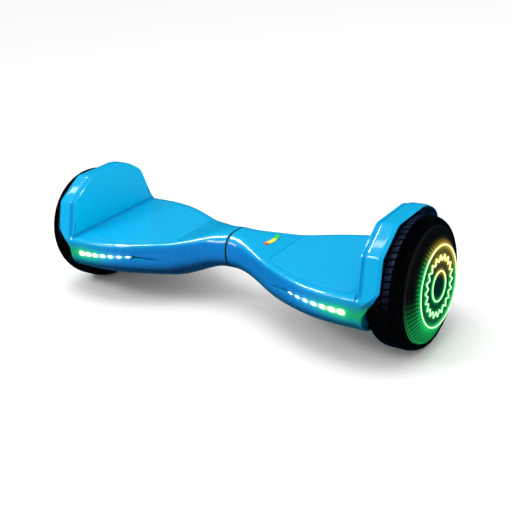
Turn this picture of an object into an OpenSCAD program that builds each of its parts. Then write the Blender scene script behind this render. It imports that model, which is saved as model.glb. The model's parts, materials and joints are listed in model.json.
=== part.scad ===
// Self balancing hoverboard: two tilting halves joined by a hollow pivot, a hub motor in each wheel.
// X runs along the axle, -Y is the front with the light bars, +Z is up.
// The origin is on the floor under the middle of the board. Lengths are in millimetres.
// Each half is drawn once for the right side, where x is the distance from the middle.

/* [Wheels] */
// Outer diameter of the tyre
tyre_d = 168; // [166:0.5:169]
// Width of the tyre
tyre_w = 49.5; // [46:0.5:50]
// Distance from the middle of the board to the inner side of a tyre
tyre_x = 241.5; // [241.5:0.5:244]
// Outer diameter of the rim under the tyre
rim_d = 124; // [122:1:130]
// Diameter of the axle
axle_d = 15; // [12:0.5:15]
// Diameter of the outer light ring on the wheel
light_ring_d = 102; // [96:1:103]

/* [Body] */
// Length of one half from the middle to the wheel well wall
body_len = 236; // [234:0.5:236]
// Half width of the deck beside the wheel
deck_half_w = 94; // [92:0.5:96]
// Height of the deck above the floor
deck_z = 97; // [96:0.5:98]
// Height of the underside above the floor
belly_z = 35.5; // [33:0.5:37]
// Half width of the neck in the middle
neck_half_w = 30.5; // [30:0.5:33]
// Half height of the neck in the middle
neck_half_h = 26.3; // [26:0.1:28]
// Thickness of the moulded shells
shell_t = 2.6; // [2.2:0.1:3]

/* [Fender] */
// Height of the fender's flat top
fender_top_z = 171.6; // [171:0.1:174]
// Half length of the fender's flat top
fender_top_half = 33; // [31:0.5:35]
// Distance from the middle of the board to the outer lip of the fender
fender_lip_x = 266; // [262:0.5:268]

/* [Foot pads] */
// Distance of the pad edge from the side of the deck
pad_inset = 12; // [11:0.5:16]
// How far a pad sinks when it is stepped on
pad_travel = 0.8; // [0.4:0.1:0.9]
// How far a pad stands above the deck
pad_proud = 0.3; // [0.2:0.1:0.6]

/* [Light bars] */
// Where the thin end of the light bar begins
bar_start = 132; // [126:1:140]
// Where the wide end of the light bar ends
bar_end = 224; // [216:1:226]
// Number of lamps in a light bar
bar_lamps = 7; // [5:1:8]

/* [Pivot] */
// Outer diameter of the hollow pivot shaft
shaft_d = 25; // [22:0.5:26]
// Bore of the hollow pivot shaft
shaft_bore_d = 18; // [14:0.5:19]

/* [Controls] */
// Diameter of the power button
button_d = 15; // [12:0.5:16]
// Travel of the power button
button_travel = 1.2; // [0.8:0.1:1.4]
// Diameter of the charge socket's opening
socket_d = 12; // [11:0.5:13]

/* [Hidden] */
$fn = 64;

LEFT = -1;
RIGHT = 1;

// Heights and lines that the whole board shares
axle_z = tyre_d / 2;
belt_z = 73;
shoulder_len = 92;
seam_gap = 1.8;
neck_top_z = axle_z + neck_half_h + 0.6;
neck_bottom_z = axle_z - neck_half_h + 0.6;

// Powers of the rounded section: 2 is an ellipse, higher is squarer
neck_power = 2.6;
deck_power = 12;
belly_power = 2.5;
// How early the neck widens into the deck
waist_fill = 3.7;

// Angle round the section where the bottom cover takes over from the top shell
split_angle = 60;
split_gap = 0.6;

// Where a foot pad starts and ends along the half, and its two plungers over the foot switches
pad_start = 80;
pad_end = 226;
plungers = [132, 176];

// Heights of the light bar's lower and upper edge, at its thin end and at its wide end
bar_thin_z = [77.6, 79.6];
bar_wide_z = [71.5, 80.5];

// Layers inside a half, from the top down
pad_t = 3;
pad_stop_gap = pad_travel + 0.2;
plate_z = 79.2;
plate_t = 3;
board_z = 84.4;
board_t = 1.6;

// The wheel well
wall_t = 3;
well_x = body_len + wall_t;
well_r = axle_z + 1.6;
fender_skin = 0.976;

// The hub motor
rim_r = rim_d / 2;
cup_r = 53;
magnet_count = 30;
magnet_t = 2.5;
stator_r = 49.8;
stator_x = 254;
stator_len = 22;
tooth_count = 27;
bearing_r = 14;
bearing_w = 8;
run_fit = 0.05;
plate_outer_x = 281;
wheel_face_x = 300;
// Radius of the ring of bolts that hold the motor cover on the rim
cover_bolt_ring = 56.8;

// Fasteners
screw_r = 1.95;
screw_head_r = 4;
bolt_r = 2.5;
bolt_head_r = 4.2;
// Places of the cover screws: distance along the half, and to each side
cover_screws = [[74, 14], [136, 34.8], [206, 34.8]];
screw_post_z = 46;
// How deep the heads of the cover screws sit above the underside
screw_seat = 3.6;
// Underside of the axle clamp
clamp_low_z = 67;
clamp_bolts = [[220, 18], [230, 18]];

// Places on the back walls
control_x = 196;
control_z = 78;
control_y = half_width(control_x);
hinge_z = control_z + 13;

// The battery gauge: its arc, and the place and slope of the arc's middle
gauge_r = 41;
gauge_w = 6;
gauge_half_angle = 23.4;
gauge_x = 57;
gauge_y = 6;
gauge_z = 101.5;
gauge_tilt = 12;

function smooth(from, to, s) =
    let (t = min(1, max(0, (s - from) / (to - from)))) t * t * (3 - 2 * t);
function mix(a, b, t) = a + (b - a) * t;

// The half's outline at distance s from the middle
function half_width(s) =
    mix(neck_half_w, deck_half_w, 1 - pow(1 - pow(min(1, s / body_len), 2), waist_fill));
function top_z(s) = mix(neck_top_z, deck_z, smooth(0, shoulder_len, s));
function bottom_z(s) = mix(neck_bottom_z, belly_z, smooth(8, shoulder_len + 3, s));
function widest_z(s) = mix(axle_z + 0.6, belt_z, smooth(10, 110, s));
function top_power(s) = mix(neck_power, deck_power, smooth(15, 110, s));

// A point of the section at angle a, 0 at the back wall and 90 at the top, moved in by inset
function section_point(s, a, inset) =
    let (
        upper = sin(a) > 0,
        power = upper ? top_power(s) : belly_power,
        w = half_width(s) - inset,
        h = (upper ? top_z(s) - widest_z(s) : widest_z(s) - bottom_z(s)) - inset
    )
    [
        w * sign(cos(a)) * pow(abs(cos(a)), 2 / power),
        widest_z(s) + h * sign(sin(a)) * pow(abs(sin(a)), 2 / power)
    ];

// Height of the outer underside at a point
function underside_z(s, y) =
    widest_z(s) - (widest_z(s) - bottom_z(s))
        * pow(1 - pow(abs(y) / half_width(s), belly_power), 1 / belly_power);

// Distances from the middle at which the shells' sections are placed
first_station = 8;
station_pitch = 12;
stations = concat(
    [seam_gap, first_station],
    [for (s = [first_station + 10 : station_pitch : body_len - station_pitch / 2]) s],
    [body_len]
);

// ---- Shared shapes ----

// Draws its children for the right half, or mirrored for the left half
module on_side(side) {
    if (side == LEFT) mirror([1, 0, 0]) children();
    else children();
}

// A cylinder along X from x0 to x1, centred on the axle line
module along_axle(r, x0, x1) {
    translate([x0, 0, axle_z]) rotate([0, 90, 0]) cylinder(r = r, h = x1 - x0);
}

// A ring along X from x0 to x1, centred on the axle line
module axle_ring(r_out, r_in, x0, x1) {
    difference() {
        along_axle(r_out, x0, x1);
        along_axle(r_in, x0 - 1, x1 + 1);
    }
}

// A profile of [radius, x] points turned about the axle
module turned_on_axle(points) {
    translate([0, 0, axle_z]) rotate([0, 90, 0]) rotate_extrude() polygon(points);
}

// A cylinder along Y from y0 to y1
module along_y(r, x, z, y0, y1) {
    translate([x, y0, z]) rotate([-90, 0, 0]) cylinder(r = r, h = y1 - y0);
}

// A flat plate: an outline in the Y-Z plane, from x0 to x1
module side_plate(points, x0, x1) {
    translate([x0, 0, 0]) rotate([90, 0, 90]) linear_extrude(x1 - x0) polygon(points);
}

// A vertical plate with an outline in the X-Z plane, from y0 to y1
module front_plate(points, y0, y1) {
    translate([0, y1, 0]) rotate([90, 0, 0]) linear_extrude(y1 - y0) polygon(points);
}

// A wall that follows the section from angle a0 to a1, over all stations
module lofted_wall(a0, a1, step) {
    angles = [for (a = [a0 : step : a1]) a];
    n = len(angles);
    ring = 2 * n;
    last = len(stations) - 1;
    function at(i, j) = i * ring + j;
    function point3(s, a, inset) = let (p = section_point(s, a, inset)) [s, p[0], p[1]];
    points = [
        for (s = stations) each concat(
            [for (a = angles) point3(s, a, 0)],
            [for (k = [n - 1 : -1 : 0]) point3(s, angles[k], shell_t)]
        )
    ];
    skin = [
        for (i = [0 : last - 1]) for (j = [0 : ring - 1])
            let (k = (j + 1) % ring)
            each [[at(i, j), at(i + 1, j), at(i + 1, k)], [at(i, j), at(i + 1, k), at(i, k)]]
    ];
    ends = [
        for (j = [0 : n - 2])
            let (m = ring - 1 - j)
            each [
                [at(0, j), at(0, j + 1), at(0, m - 1)], [at(0, j), at(0, m - 1), at(0, m)],
                [at(last, j), at(last, m - 1), at(last, j + 1)],
                [at(last, j), at(last, m), at(last, m - 1)]
            ]
    ];
    polyhedron(points = points, faces = concat(skin, ends));
}

// ---- Shells ----

// Where the fender's upright sides end and its upper corners begin
fender_corner_y = deck_half_w - 18.9;
fender_corner_z = deck_z + 48;

// One side of the fender's outline, seen along X, from the split up to the corner
function fender_side() = concat(
    [for (a = [-split_angle : 10 : 0]) section_point(body_len, a, 0)],
    [[deck_half_w, deck_z - 7], [deck_half_w - 6, deck_z + 7.2]]
);
// The corner's points: power 1 is a straight slope, as at the front, and 2 is an ellipse
function fender_corner(power, step) = [
    for (a = [0 : step : 90])
        [
            mix(fender_top_half, fender_corner_y, pow(cos(a), 2 / power)),
            mix(fender_corner_z, fender_top_z, pow(sin(a), 2 / power))
        ]
];
fender_back_power = 1.5;
function mirrored(points) = [for (i = [len(points) - 1 : -1 : 0]) [-points[i][0], points[i][1]]];
fender_outline = concat(
    fender_side(), fender_corner(fender_back_power, 18),
    mirrored(concat(fender_side(), fender_corner(1, 90)))
);

module fender(side) {
    color("deepskyblue") on_side(side) difference() {
        side_plate(fender_outline, body_len, fender_lip_x);
        // The well for the wheel: round below, and an even skin under the fender
        along_axle(well_r, well_x, fender_lip_x + 1);
        translate([0, 0, axle_z]) scale(fender_skin) translate([0, 0, -axle_z])
            side_plate(fender_outline, well_x / fender_skin, fender_lip_x / fender_skin + 1);
        // Below the lip the sides run back towards the body
        front_plate([
            [fender_lip_x + 1, deck_z + 9], [well_x + 4, belt_z - 1], [well_x + 4, 0],
            [fender_lip_x + 40, 0], [fender_lip_x + 40, deck_z + 9]
        ], -deck_half_w - 5, deck_half_w + 5);
        along_axle(axle_d / 2 + 6, body_len - 1, well_x + 1);
    }
}

// Plan outline of the foot pad, made larger by grow on all sides
module pad_outline(grow) {
    from = pad_start - grow;
    to = pad_end + grow;
    xs = concat([for (x = [from : (to - from) / 10 : to - 1]) x], [to]);
    edge = [for (x = xs) [x, half_width(x) - pad_inset + grow]];
    polygon(concat(edge, [for (i = [len(edge) - 1 : -1 : 0]) [edge[i][0], -edge[i][1]]]));
}

// Plan outline of a band behind the front wall, between two depths, from x0 to x1
module wall_band(depth0, depth1, x0, x1) {
    xs = concat([for (x = [x0 : (x1 - x0) / 8 : x1 - 1]) x], [x1]);
    polygon(concat(
        [for (x = xs) [x, -half_width(x) + depth0]],
        [for (i = [len(xs) - 1 : -1 : 0]) [xs[i], -half_width(xs[i]) + depth1]]
    ));
}

// The light bar's tapered side view, made larger by grow
module bar_wedge(grow) {
    front_plate([
        [bar_start - grow, bar_thin_z[0] - grow], [bar_end + grow, bar_wide_z[0] - grow],
        [bar_end + grow, bar_wide_z[1] + grow], [bar_start - grow, bar_thin_z[1] + grow]
    ], -deck_half_w - 5, 0);
}

// The battery gauge's plan: a short arc across the deck
module gauge_shape(grow) {
    reach = gauge_r + gauge_w + 13;
    half = reach * tan(gauge_half_angle) + grow;
    intersection() {
        difference() {
            circle(r = gauge_r + gauge_w / 2 + grow);
            circle(r = gauge_r - gauge_w / 2 - grow);
        }
        polygon([[0, 0], [reach, -half], [reach, half]]);
    }
}

// Lays the gauge's arc on the sloping neck
module at_gauge() {
    translate([gauge_x, gauge_y, gauge_z]) rotate([0, gauge_tilt, 0]) translate([-gauge_r, 0, 0])
        children();
}

module top_shell(side) {
    color("deepskyblue") on_side(side) difference() {
        lofted_wall(-split_angle, 180 + split_angle, 10);
        translate([0, 0, deck_z - 8]) linear_extrude(12) pad_outline(0.5);
        intersection() {
            translate([0, 0, belt_z - 4]) linear_extrude(14)
                wall_band(-2, 6, bar_start - 0.2, bar_end + 0.2);
            bar_wedge(0.2);
        }
        // Holes and flat seats for the button on the left and the charge socket on the right
        if (side == LEFT) {
            along_y(button_d / 2 + 2.2, control_x, control_z, control_y - 13, control_y + 7);
            along_y(button_d / 2 + 3.9, control_x, control_z, control_y, control_y + 7);
        }
        if (side == RIGHT) {
            along_y(socket_d / 2 + 2.2, control_x, control_z, control_y - 13, control_y + 7);
            along_y(socket_d / 2 + 4.8, control_x, control_z, control_y, control_y + 7);
            translate([control_x - 7, control_y, control_z]) cube([14, 7, hinge_z + 2 - control_z]);
            at_gauge() translate([0, 0, -6]) linear_extrude(12) gauge_shape(0.2);
        }
    }
}

module bottom_cover(side) {
    low = 180 + split_angle + split_gap;
    high = 360 - split_angle - split_gap;
    step = (high - low) / 10;
    wall = [for (k = [0 : 10]) section_point(body_len, low + k * step, 0)];
    color("#15181c") on_side(side) difference() {
        union() {
            lofted_wall(low, high + step / 2, step);
            side_plate(wall, body_len, well_x);
            for (p = cover_screws) for (m = [-1, 1])
                translate([p[0], m * p[1], underside_z(p[0], p[1]) + 1.2])
                    cylinder(r = 6.5, h = screw_post_z - 0.2 - underside_z(p[0], p[1]) - 1.2);
        }
        for (p = cover_screws) for (m = [-1, 1]) translate([p[0], m * p[1], 0]) {
            cylinder(r = screw_head_r + 0.4, h = underside_z(p[0], p[1]) + screw_seat);
            cylinder(r = screw_r + 0.3, h = screw_post_z + 5);
        }
    }
}

module seam_ring() {
    outline = [for (a = [0 : 10 : 350]) section_point(0, a, 0.8)];
    color("#101216") difference() {
        side_plate(outline, -seam_gap, seam_gap - 0.3);
        along_axle(shaft_d / 2 + 1.5, -seam_gap - 1, seam_gap + 1);
    }
}

// ---- Foot pads and what they press on ----

module foot_pad(side) {
    color("deepskyblue") on_side(side) {
        translate([0, 0, deck_z + pad_proud - pad_t]) linear_extrude(pad_t) pad_outline(0);
        for (x = plungers)
            translate([x, 0, board_z + board_t + 3]) cylinder(r = 3, h = 6);
    }
}

module balance_board(side) {
    color("darkgreen") on_side(side) {
        translate([112, -26, board_z]) cube([84, 52, board_t]);
        // Foot switches under the pad's two plungers, and the gyroscope with its chips
        for (x = plungers)
            translate([x - 5, -4, board_z + board_t]) cube([10, 8, 2]);
        translate([150, 8, board_z + board_t]) cube([8, 8, 1.4]);
        translate([148, -18, board_z + board_t]) cube([12, 12, 1.6]);
        translate([114, -10, board_z + board_t]) cube([6, 20, 5]);
    }
}

// ---- Light bars ----

module bar_lens(side) {
    color("white") on_side(side) intersection() {
        translate([0, 0, belt_z - 4]) linear_extrude(14) wall_band(-0.3, 2.8, bar_start, bar_end);
        bar_wedge(0);
    }
}

module bar_board(side) {
    span = bar_end - bar_start - 12;
    color("darkgreen") on_side(side) {
        translate([0, 0, belt_z - 1]) linear_extrude(6)
            wall_band(4.4, 5.6, bar_start + 2, bar_end - 2);
        for (k = [0 : bar_lamps - 1]) {
            x = bar_start + 6 + span * k / (bar_lamps - 1);
            turn = atan(half_width(x + 1) - half_width(x));
            translate([x, -half_width(x) + 4.1, belt_z + 2]) rotate([0, 0, -turn])
                translate([-2, -1, -1.5]) cube([4, 1.6, 3]);
        }
    }
}

module gauge_window() {
    color("limegreen") at_gauge() translate([0, 0, -2.2]) linear_extrude(2.8) gauge_shape(0);
}

// ---- Frame and pivot ----

// The boss round the pivot shaft
boss_r = 17.5;
boss_from = 6;
boss_to = 44;
shaft_end_x = 50;

// Places on the frame's plate: posts under the foot pad, and posts for the balance board
pad_posts = [[98, 34], [152, 38], [206, 38]];
board_posts = [[117, 22], [191, 22]];

// Plan outline of the frame's plate
function plate_half(x) = min(half_width(x) - 20, 46);
module plate_outline() {
    xs = [for (x = [44 : 17 : 214]) x];
    polygon(concat(
        [for (x = xs) [x, plate_half(x)]],
        [for (i = [len(xs) - 1 : -1 : 0]) [xs[i], -plate_half(xs[i])]]
    ));
}

module frame_half(side, shaft_hole_r) {
    color("silver") on_side(side) difference() {
        union() {
            translate([0, 0, plate_z]) linear_extrude(plate_t) plate_outline();
            along_axle(boss_r, boss_from, boss_to);
            // Ribs from the pivot boss on to the plate
            for (m = [-1, 1]) translate([20, m * 17.7 - 2, plate_z]) cube([74, 4, 12.5]);
            // Rails down both sides of the plate
            for (m = [-1, 1]) translate([112, m * 37 - 1.5, 64]) cube([102, 3, plate_z - 63]);
            // Posts under the foot pad
            for (p = pad_posts) for (m = [-1, 1])
                translate([p[0], m * p[1], plate_z])
                    cylinder(r = 4, h = deck_z + pad_proud - pad_t - pad_stop_gap - plate_z);
            // Posts for the balance board
            for (p = board_posts) for (m = [-1, 1])
                translate([p[0], m * p[1], plate_z]) cylinder(r = 3, h = board_z - plate_z);
            // Posts for the cover screws
            for (p = cover_screws) for (m = [-1, 1])
                translate([p[0], m * p[1], screw_post_z])
                    cylinder(r = 4.4, h = plate_z + 1 - screw_post_z);
            // Upper half of the axle clamp
            translate([213, -24, plate_z]) cube([21, 48, 93.2 - plate_z]);
        }
        along_axle(shaft_hole_r, boss_from - 1, boss_to + 1);
        // Room for the end of the shaft and its circlip
        along_axle(shaft_d / 2 + 3, boss_to, shaft_end_x + 2);
        // Room for the wires that leave the hollow shaft
        translate([boss_to, -9, plate_z - 1]) cube([92 - boss_to, 18, plate_t + 2]);
        for (x = [140, 168]) translate([x, 0, plate_z - 1]) cylinder(r = 10, h = plate_t + 2);
        translate([203, -12, plate_z - 1]) cube([32, 24, axle_z - plate_z + 1]);
        along_axle(axle_d / 2 + 0.02, 212, 235);
        for (p = clamp_bolts) for (m = [-1, 1])
            translate([p[0], m * p[1], plate_z - 1]) cylinder(r = bolt_r + 0.1, h = 12);
        for (p = cover_screws) for (m = [-1, 1])
            translate([p[0], m * p[1], screw_post_z - 1]) cylinder(r = screw_r + 0.05, h = 16);
    }
}

module left_frame() {
    frame_half(LEFT, shaft_d / 2 + 0.02);
}

// The right frame turns on the shaft, so its boss is bored for the two bushes
bush_wall = 2.5;
bush_r = shaft_d / 2 + bush_wall;
bush_places = [8, 32];
bush_len = 10;
module right_frame() {
    frame_half(RIGHT, bush_r + 0.02);
}

circlip_places = [4, 45.5];
circlip_t = 1.2;
module pivot_shaft() {
    color("lightsteelblue") difference() {
        axle_ring(shaft_d / 2, shaft_bore_d / 2, -boss_to + 2, shaft_end_x);
        // Grooves for the circlips
        for (x = circlip_places) axle_ring(shaft_d, shaft_d / 2 - 1, x, x + circlip_t + 0.1);
    }
}

module pivot_bushes() {
    color("goldenrod") for (x = bush_places)
        axle_ring(bush_r, shaft_d / 2 + run_fit, x, x + bush_len);
}

module pivot_circlips() {
    color("dimgray") for (x = circlip_places) difference() {
        axle_ring(shaft_d / 2 + 2.2, shaft_d / 2 - 0.95, x + 0.05, x + 0.05 + circlip_t);
        translate([x - 1, -3, axle_z - shaft_d]) cube([4, 6, shaft_d]);
    }
}

module axle_clamp(side) {
    riser = axle_z - 0.3;
    color("silver") on_side(side) difference() {
        union() {
            translate([215, -24, clamp_low_z]) cube([19, 48, plate_z - clamp_low_z - 0.2]);
            translate([215, -11.6, 70]) cube([19, 23.2, riser - 70]);
        }
        along_axle(axle_d / 2 + 0.02, 214, 235);
        for (p = clamp_bolts) for (m = [-1, 1])
            translate([p[0], m * p[1], clamp_low_z - 1]) cylinder(r = bolt_r + 0.2, h = 14);
    }
}

// A screw that points up from z0 to z1, with a hexagon socket in its head below
module screw(r, head_r, head_h, z0, z1, socket_r) {
    difference() {
        union() {
            translate([0, 0, z0]) cylinder(r = head_r, h = head_h);
            translate([0, 0, z0 + head_h / 2]) cylinder(r = r, h = z1 - z0 - head_h / 2);
        }
        translate([0, 0, z0 - 0.5]) cylinder(r = socket_r, h = head_h * 0.5 + 0.5, $fn = 6);
    }
}

// The bolts of the axle clamp and the screws of the bottom cover
module half_screws(side) {
    color("dimgray") on_side(side) for (m = [-1, 1]) {
        for (p = clamp_bolts)
            translate([p[0], m * p[1], 0]) screw(bolt_r, bolt_head_r, 4, clamp_low_z - 4, 88, 2.3);
        for (p = cover_screws) {
            seat = underside_z(p[0], p[1]) + screw_seat;
            translate([p[0], m * p[1], 0]) screw(screw_r, screw_head_r, 2.6, seat - 2.6, 59.5, 1.5);
        }
    }
}

// ---- Power and control ----

module battery_pack() {
    half = 30;
    chamfer = 9;
    low = 42.2;
    color("royalblue") on_side(LEFT) side_plate([
        [-half, low + chamfer], [-half + chamfer, low], [half - chamfer, low],
        [half, low + chamfer], [half, 78.8], [-half, 78.8]
    ], 84, 212);
}

main_board_z = 70;
module main_board() {
    color("darkgreen") {
        translate([96, -30, main_board_z]) cube([108, 60, board_t]);
        // Capacitors, plugs and the controller chip hang below
        for (y = [-14, 8]) translate([190, y, main_board_z - 7.6]) rotate([0, -90, 0])
            cylinder(r = 8, h = 28);
        for (y = [-24, -8, 8]) translate([100, y, main_board_z - 9]) cube([10, 12, 9.2]);
        translate([128, -10, main_board_z - 1.6]) cube([16, 16, 1.8]);
    }
}

module heat_sink() {
    color("silver") difference() {
        translate([118, -30, main_board_z + board_t + 0.4]) cube([70, 60, 6.8]);
        for (k = [0 : 7])
            translate([117, -26.5 + k * 7, main_board_z + board_t + 2.4]) cube([72, 4, 6]);
    }
}

// A round tube of 8 sides along a list of points, each ring square to the way it runs
function unit(v) = v / norm(v);
function heading(path, i) =
    unit(path[min(i + 1, len(path) - 1)] - path[max(i - 1, 0)]);
module tube(path, r) {
    sides = 8;
    last = len(path) - 1;
    points = [
        for (i = [0 : last])
            let (
                t = heading(path, i),
                u = unit(cross(t, [0.3, 1, 0.2])),
                v = cross(t, u)
            )
            for (k = [0 : sides - 1]) path[i] + r * (u * cos(k * 360 / sides) + v * sin(k * 360 / sides))
    ];
    skin = [
        for (i = [0 : last - 1]) for (k = [0 : sides - 1])
            let (a = i * sides + k, b = i * sides + (k + 1) % sides)
            each [[a, b + sides, b], [a, a + sides, b + sides]]
    ];
    caps = [
        for (k = [1 : sides - 2])
            each [[0, k, k + 1], [last * sides, last * sides + k + 1, last * sides + k]]
    ];
    polyhedron(points = points, faces = concat(skin, caps));
}

// Points of a smooth curve through the given ones
function curve_point(p0, p1, p2, p3, t) =
    0.5 * (2 * p1 + (p2 - p0) * t + (2 * p0 - 5 * p1 + 4 * p2 - p3) * t * t
        + (3 * p1 - p0 - 3 * p2 + p3) * t * t * t);
function curve(points, steps) = concat(
    [
        for (i = [0 : len(points) - 2]) for (k = [0 : steps - 1])
            curve_point(
                points[max(i - 1, 0)], points[i], points[i + 1],
                points[min(i + 2, len(points) - 1)], k / steps
            )
    ],
    [points[len(points) - 1]]
);

// From the left axle, beside the balance board, and through the pivot to a plug in the right half
harness_route = [
    [-222, 0, 84], [-214, 0, 84], [-208, 3, 85.5], [-202, 10, 89], [-194, 27, 89], [-178, 31, 88],
    [-150, 31, 88], [-122, 31, 88], [-109, 29, 89], [-100, 20, 89], [-92, 7, 87.5], [-80, 0.6, 84.6],
    [-66, 0, 84], [-40, 0, 84], [0, 0, 84], [36, 0, 84], [58, 0, 84]
];
module wiring_harness() {
    color("orangered") {
        tube(curve(harness_route, 3), 2.4);
        translate([57, -5, axle_z - 4]) cube([8, 10, 8]);
    }
}

// From the right axle down past the end of the main board
motor_cable_route = [
    [222, 0, 84], [216, 0, 84], [211, 1, 83.4], [208.5, 6, 79.5], [208, 12, 75], [207.5, 18, 70],
    [206, 21, 64], [202, 21, 59],
    [186, 21, 57], [160, 20, 57], [140, 18, 58], [127, 15, 61.5], [118, 14, 63.5], [110.1, 14, 63.5]
];
module right_motor_cable() {
    color("orangered") tube(curve(motor_cable_route, 3), 2.2);
}

module button_housing() {
    color("silver") on_side(LEFT) difference() {
        union() {
            along_y(button_d / 2 + 2, control_x, control_z, 76, control_y + 0.5);
            along_y(button_d / 2 + 3.6, control_x, control_z, control_y + 0.1, control_y + 1.5);
        }
        along_y(button_d / 2 + 0.1, control_x, control_z, 84, control_y + 2);
    }
}

module power_button() {
    color("white") on_side(LEFT) union() {
        along_y(button_d / 2, control_x, control_z, 86, control_y + 2.5);
        along_y(2, control_x, control_z, 84 + button_travel + 0.2, 86.5);
    }
}

cap_face_y = 1.9;
module charge_socket() {
    flange_y = control_y + 1.6;
    color("#202428") difference() {
        union() {
            along_y(socket_d / 2 + 2, control_x, control_z, 78, flange_y);
            along_y(socket_d / 2 + 4.5, control_x, control_z, control_y + 0.1, flange_y);
            // Lugs and pin for the cap's hinge
            for (m = [-1, 1]) translate([control_x + m * 5.5 - 1, control_y + 0.1, 0]) {
                translate([0, 0, control_z + 6]) cube([2, 1.5, hinge_z - control_z - 4.6]);
                translate([0, 0, hinge_z - 3]) cube([2, 2.9, 4.4]);
            }
            translate([control_x - 6, control_y + 2, hinge_z]) rotate([0, 90, 0])
                cylinder(r = 0.7, h = 12);
        }
        along_y(socket_d / 2, control_x, control_z, 82, flange_y + 1);
    }
    color("gold") for (a = [90, 210, 330])
        along_y(0.9, control_x + 3.2 * cos(a), control_z + 3.2 * sin(a), 81, 87);
}

module charge_cap() {
    color("#15181c") difference() {
        union() {
            along_y(socket_d / 2 + 3.5, control_x, control_z, control_y + cap_face_y, control_y + 3.9);
            translate([control_x - 3.5, control_y + cap_face_y, control_z + 5])
                cube([7, 1.8, hinge_z - control_z - 5]);
            translate([control_x - 3.5, control_y + 2, hinge_z]) rotate([0, 90, 0])
                cylinder(r = 1.7, h = 7);
        }
        translate([control_x - 5, control_y + 2, hinge_z]) rotate([0, 90, 0])
            cylinder(r = 0.7 + run_fit, h = 10);
    }
}

// ---- Hub motors and wheels ----

axle_end_x = 288;
module wheel_axle(side) {
    color("lightsteelblue") on_side(side) difference() {
        union() {
            along_axle(axle_d / 2, 214, axle_end_x);
            along_axle(axle_d / 2 + 2.5, stator_x - 1, stator_x + stator_len + 1);
        }
        along_axle(2.8, 213, 248);
    }
}

module stator_core(side) {
    color("dimgray") on_side(side) translate([stator_x, 0, axle_z]) rotate([0, 90, 0])
        linear_extrude(stator_len) difference() {
            union() {
                circle(r = 31);
                for (k = [0 : tooth_count - 1]) rotate(k * 360 / tooth_count) {
                    translate([30, -1.6]) square([stator_r - 31, 3.2]);
                    translate([stator_r - 2, -4.6]) square([1.8, 9.2]);
                }
            }
            circle(r = axle_d / 2 + 2.5);
            for (k = [0 : 5]) rotate(k * 60 + 30) translate([20, 0]) circle(r = 5);
        }
}

module windings(side) {
    color("peru") on_side(side) translate([0, 0, axle_z])
        for (k = [0 : tooth_count - 1]) rotate([180 + k * 360 / tooth_count, 0, 0])
            translate([0, 0, 33]) difference() {
                translate([stator_x - 2.5, -3.2, 0]) cube([stator_len + 5, 6.4, 13]);
                translate([stator_x - 0.2, -1.7, -1]) cube([stator_len + 0.4, 3.4, 15]);
            }
}

module magnets(side) {
    color("lightgray") on_side(side) translate([0, 0, axle_z])
        for (k = [0 : magnet_count - 1]) rotate([k * 360 / magnet_count, 0, 0])
            translate([stator_x - 1, -4.4, cup_r - magnet_t - 0.2]) cube([stator_len + 2, 8.8, magnet_t]);
}

// The turning cup: tyre seat outside, magnets inside, closed by a plate on the outer side
module rim(side) {
    color("#2a2d31") on_side(side) difference() {
        union() {
            axle_ring(rim_r, cup_r, 249, plate_outer_x + 4);
            axle_ring(rim_r + 3, rim_r - 2, 245, 249);
            axle_ring(rim_r + 3, rim_r - 2, plate_outer_x, plate_outer_x + 4);
            along_axle(cup_r + 1, plate_outer_x, plate_outer_x + 4);
            along_axle(bearing_r + 4, plate_outer_x - 2, plate_outer_x + 3);
        }
        along_axle(bearing_r, plate_outer_x - 3, plate_outer_x + 5);
        for (k = [0 : 5]) rotate_on_axle(k * 60)
            translate([248, 0, cover_bolt_ring]) rotate([0, 90, 0]) cylinder(r = 1.9, h = 12);
    }
}
module rotate_on_axle(angle) {
    translate([0, 0, axle_z]) rotate([angle, 0, 0]) children();
}

module motor_cover(side) {
    color("#3a3e44") on_side(side) difference() {
        union() {
            along_axle(rim_r - 2.2, 245, 249);
            along_axle(bearing_r + 4, 242.5, 252);
        }
        along_axle(bearing_r, 243.6, 253);
        along_axle(axle_d / 2 + 1.5, 240, 246);
        for (k = [0 : 5]) rotate_on_axle(k * 60)
            translate([244, 0, cover_bolt_ring]) rotate([0, 90, 0]) cylinder(r = 2.3, h = 6);
    }
}

module motor_bolts(side) {
    color("dimgray") on_side(side) for (k = [0 : 5]) rotate_on_axle(k * 60)
        translate([0, 0, cover_bolt_ring]) rotate([0, 90, 0]) difference() {
            union() {
                translate([0, 0, 243]) cylinder(r = 3.4, h = 2);
                translate([0, 0, 244.5]) cylinder(r = 1.85, h = 13);
            }
            translate([0, 0, 242]) cylinder(r = 1.4, h = 2, $fn = 6);
        }
}

module bearings(side) {
    color("lightsteelblue") on_side(side) for (x = [243.7, plate_outer_x - 3])
        difference() {
            along_axle(bearing_r - 0.02, x, x + bearing_w);
            along_axle(axle_d / 2 + run_fit, x - 1, x + bearing_w + 1);
        }
}

module tyre(side) {
    inner = tyre_x;
    outer = tyre_x + tyre_w;
    color("#17181a") on_side(side) turned_on_axle([
        [rim_r, 249], [rim_r + 3, 249], [rim_r + 3, inner + 3.5], [rim_r + 8, inner],
        [axle_z - 8, inner], [axle_z - 4, inner + 2.5], [axle_z - 1.3, inner + 7],
        [axle_z, inner + 13], [axle_z, outer - 13], [axle_z - 1.3, outer - 7],
        [axle_z - 3.6, outer - 2.6], [axle_z - 6.7, outer - 0.2], [axle_z - 9, outer - 1],
        [axle_z - 10, outer - 4], [rim_r + 3, outer - 4], [rim_r + 3, plate_outer_x],
        [rim_r, plate_outer_x]
    ]);
}

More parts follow.
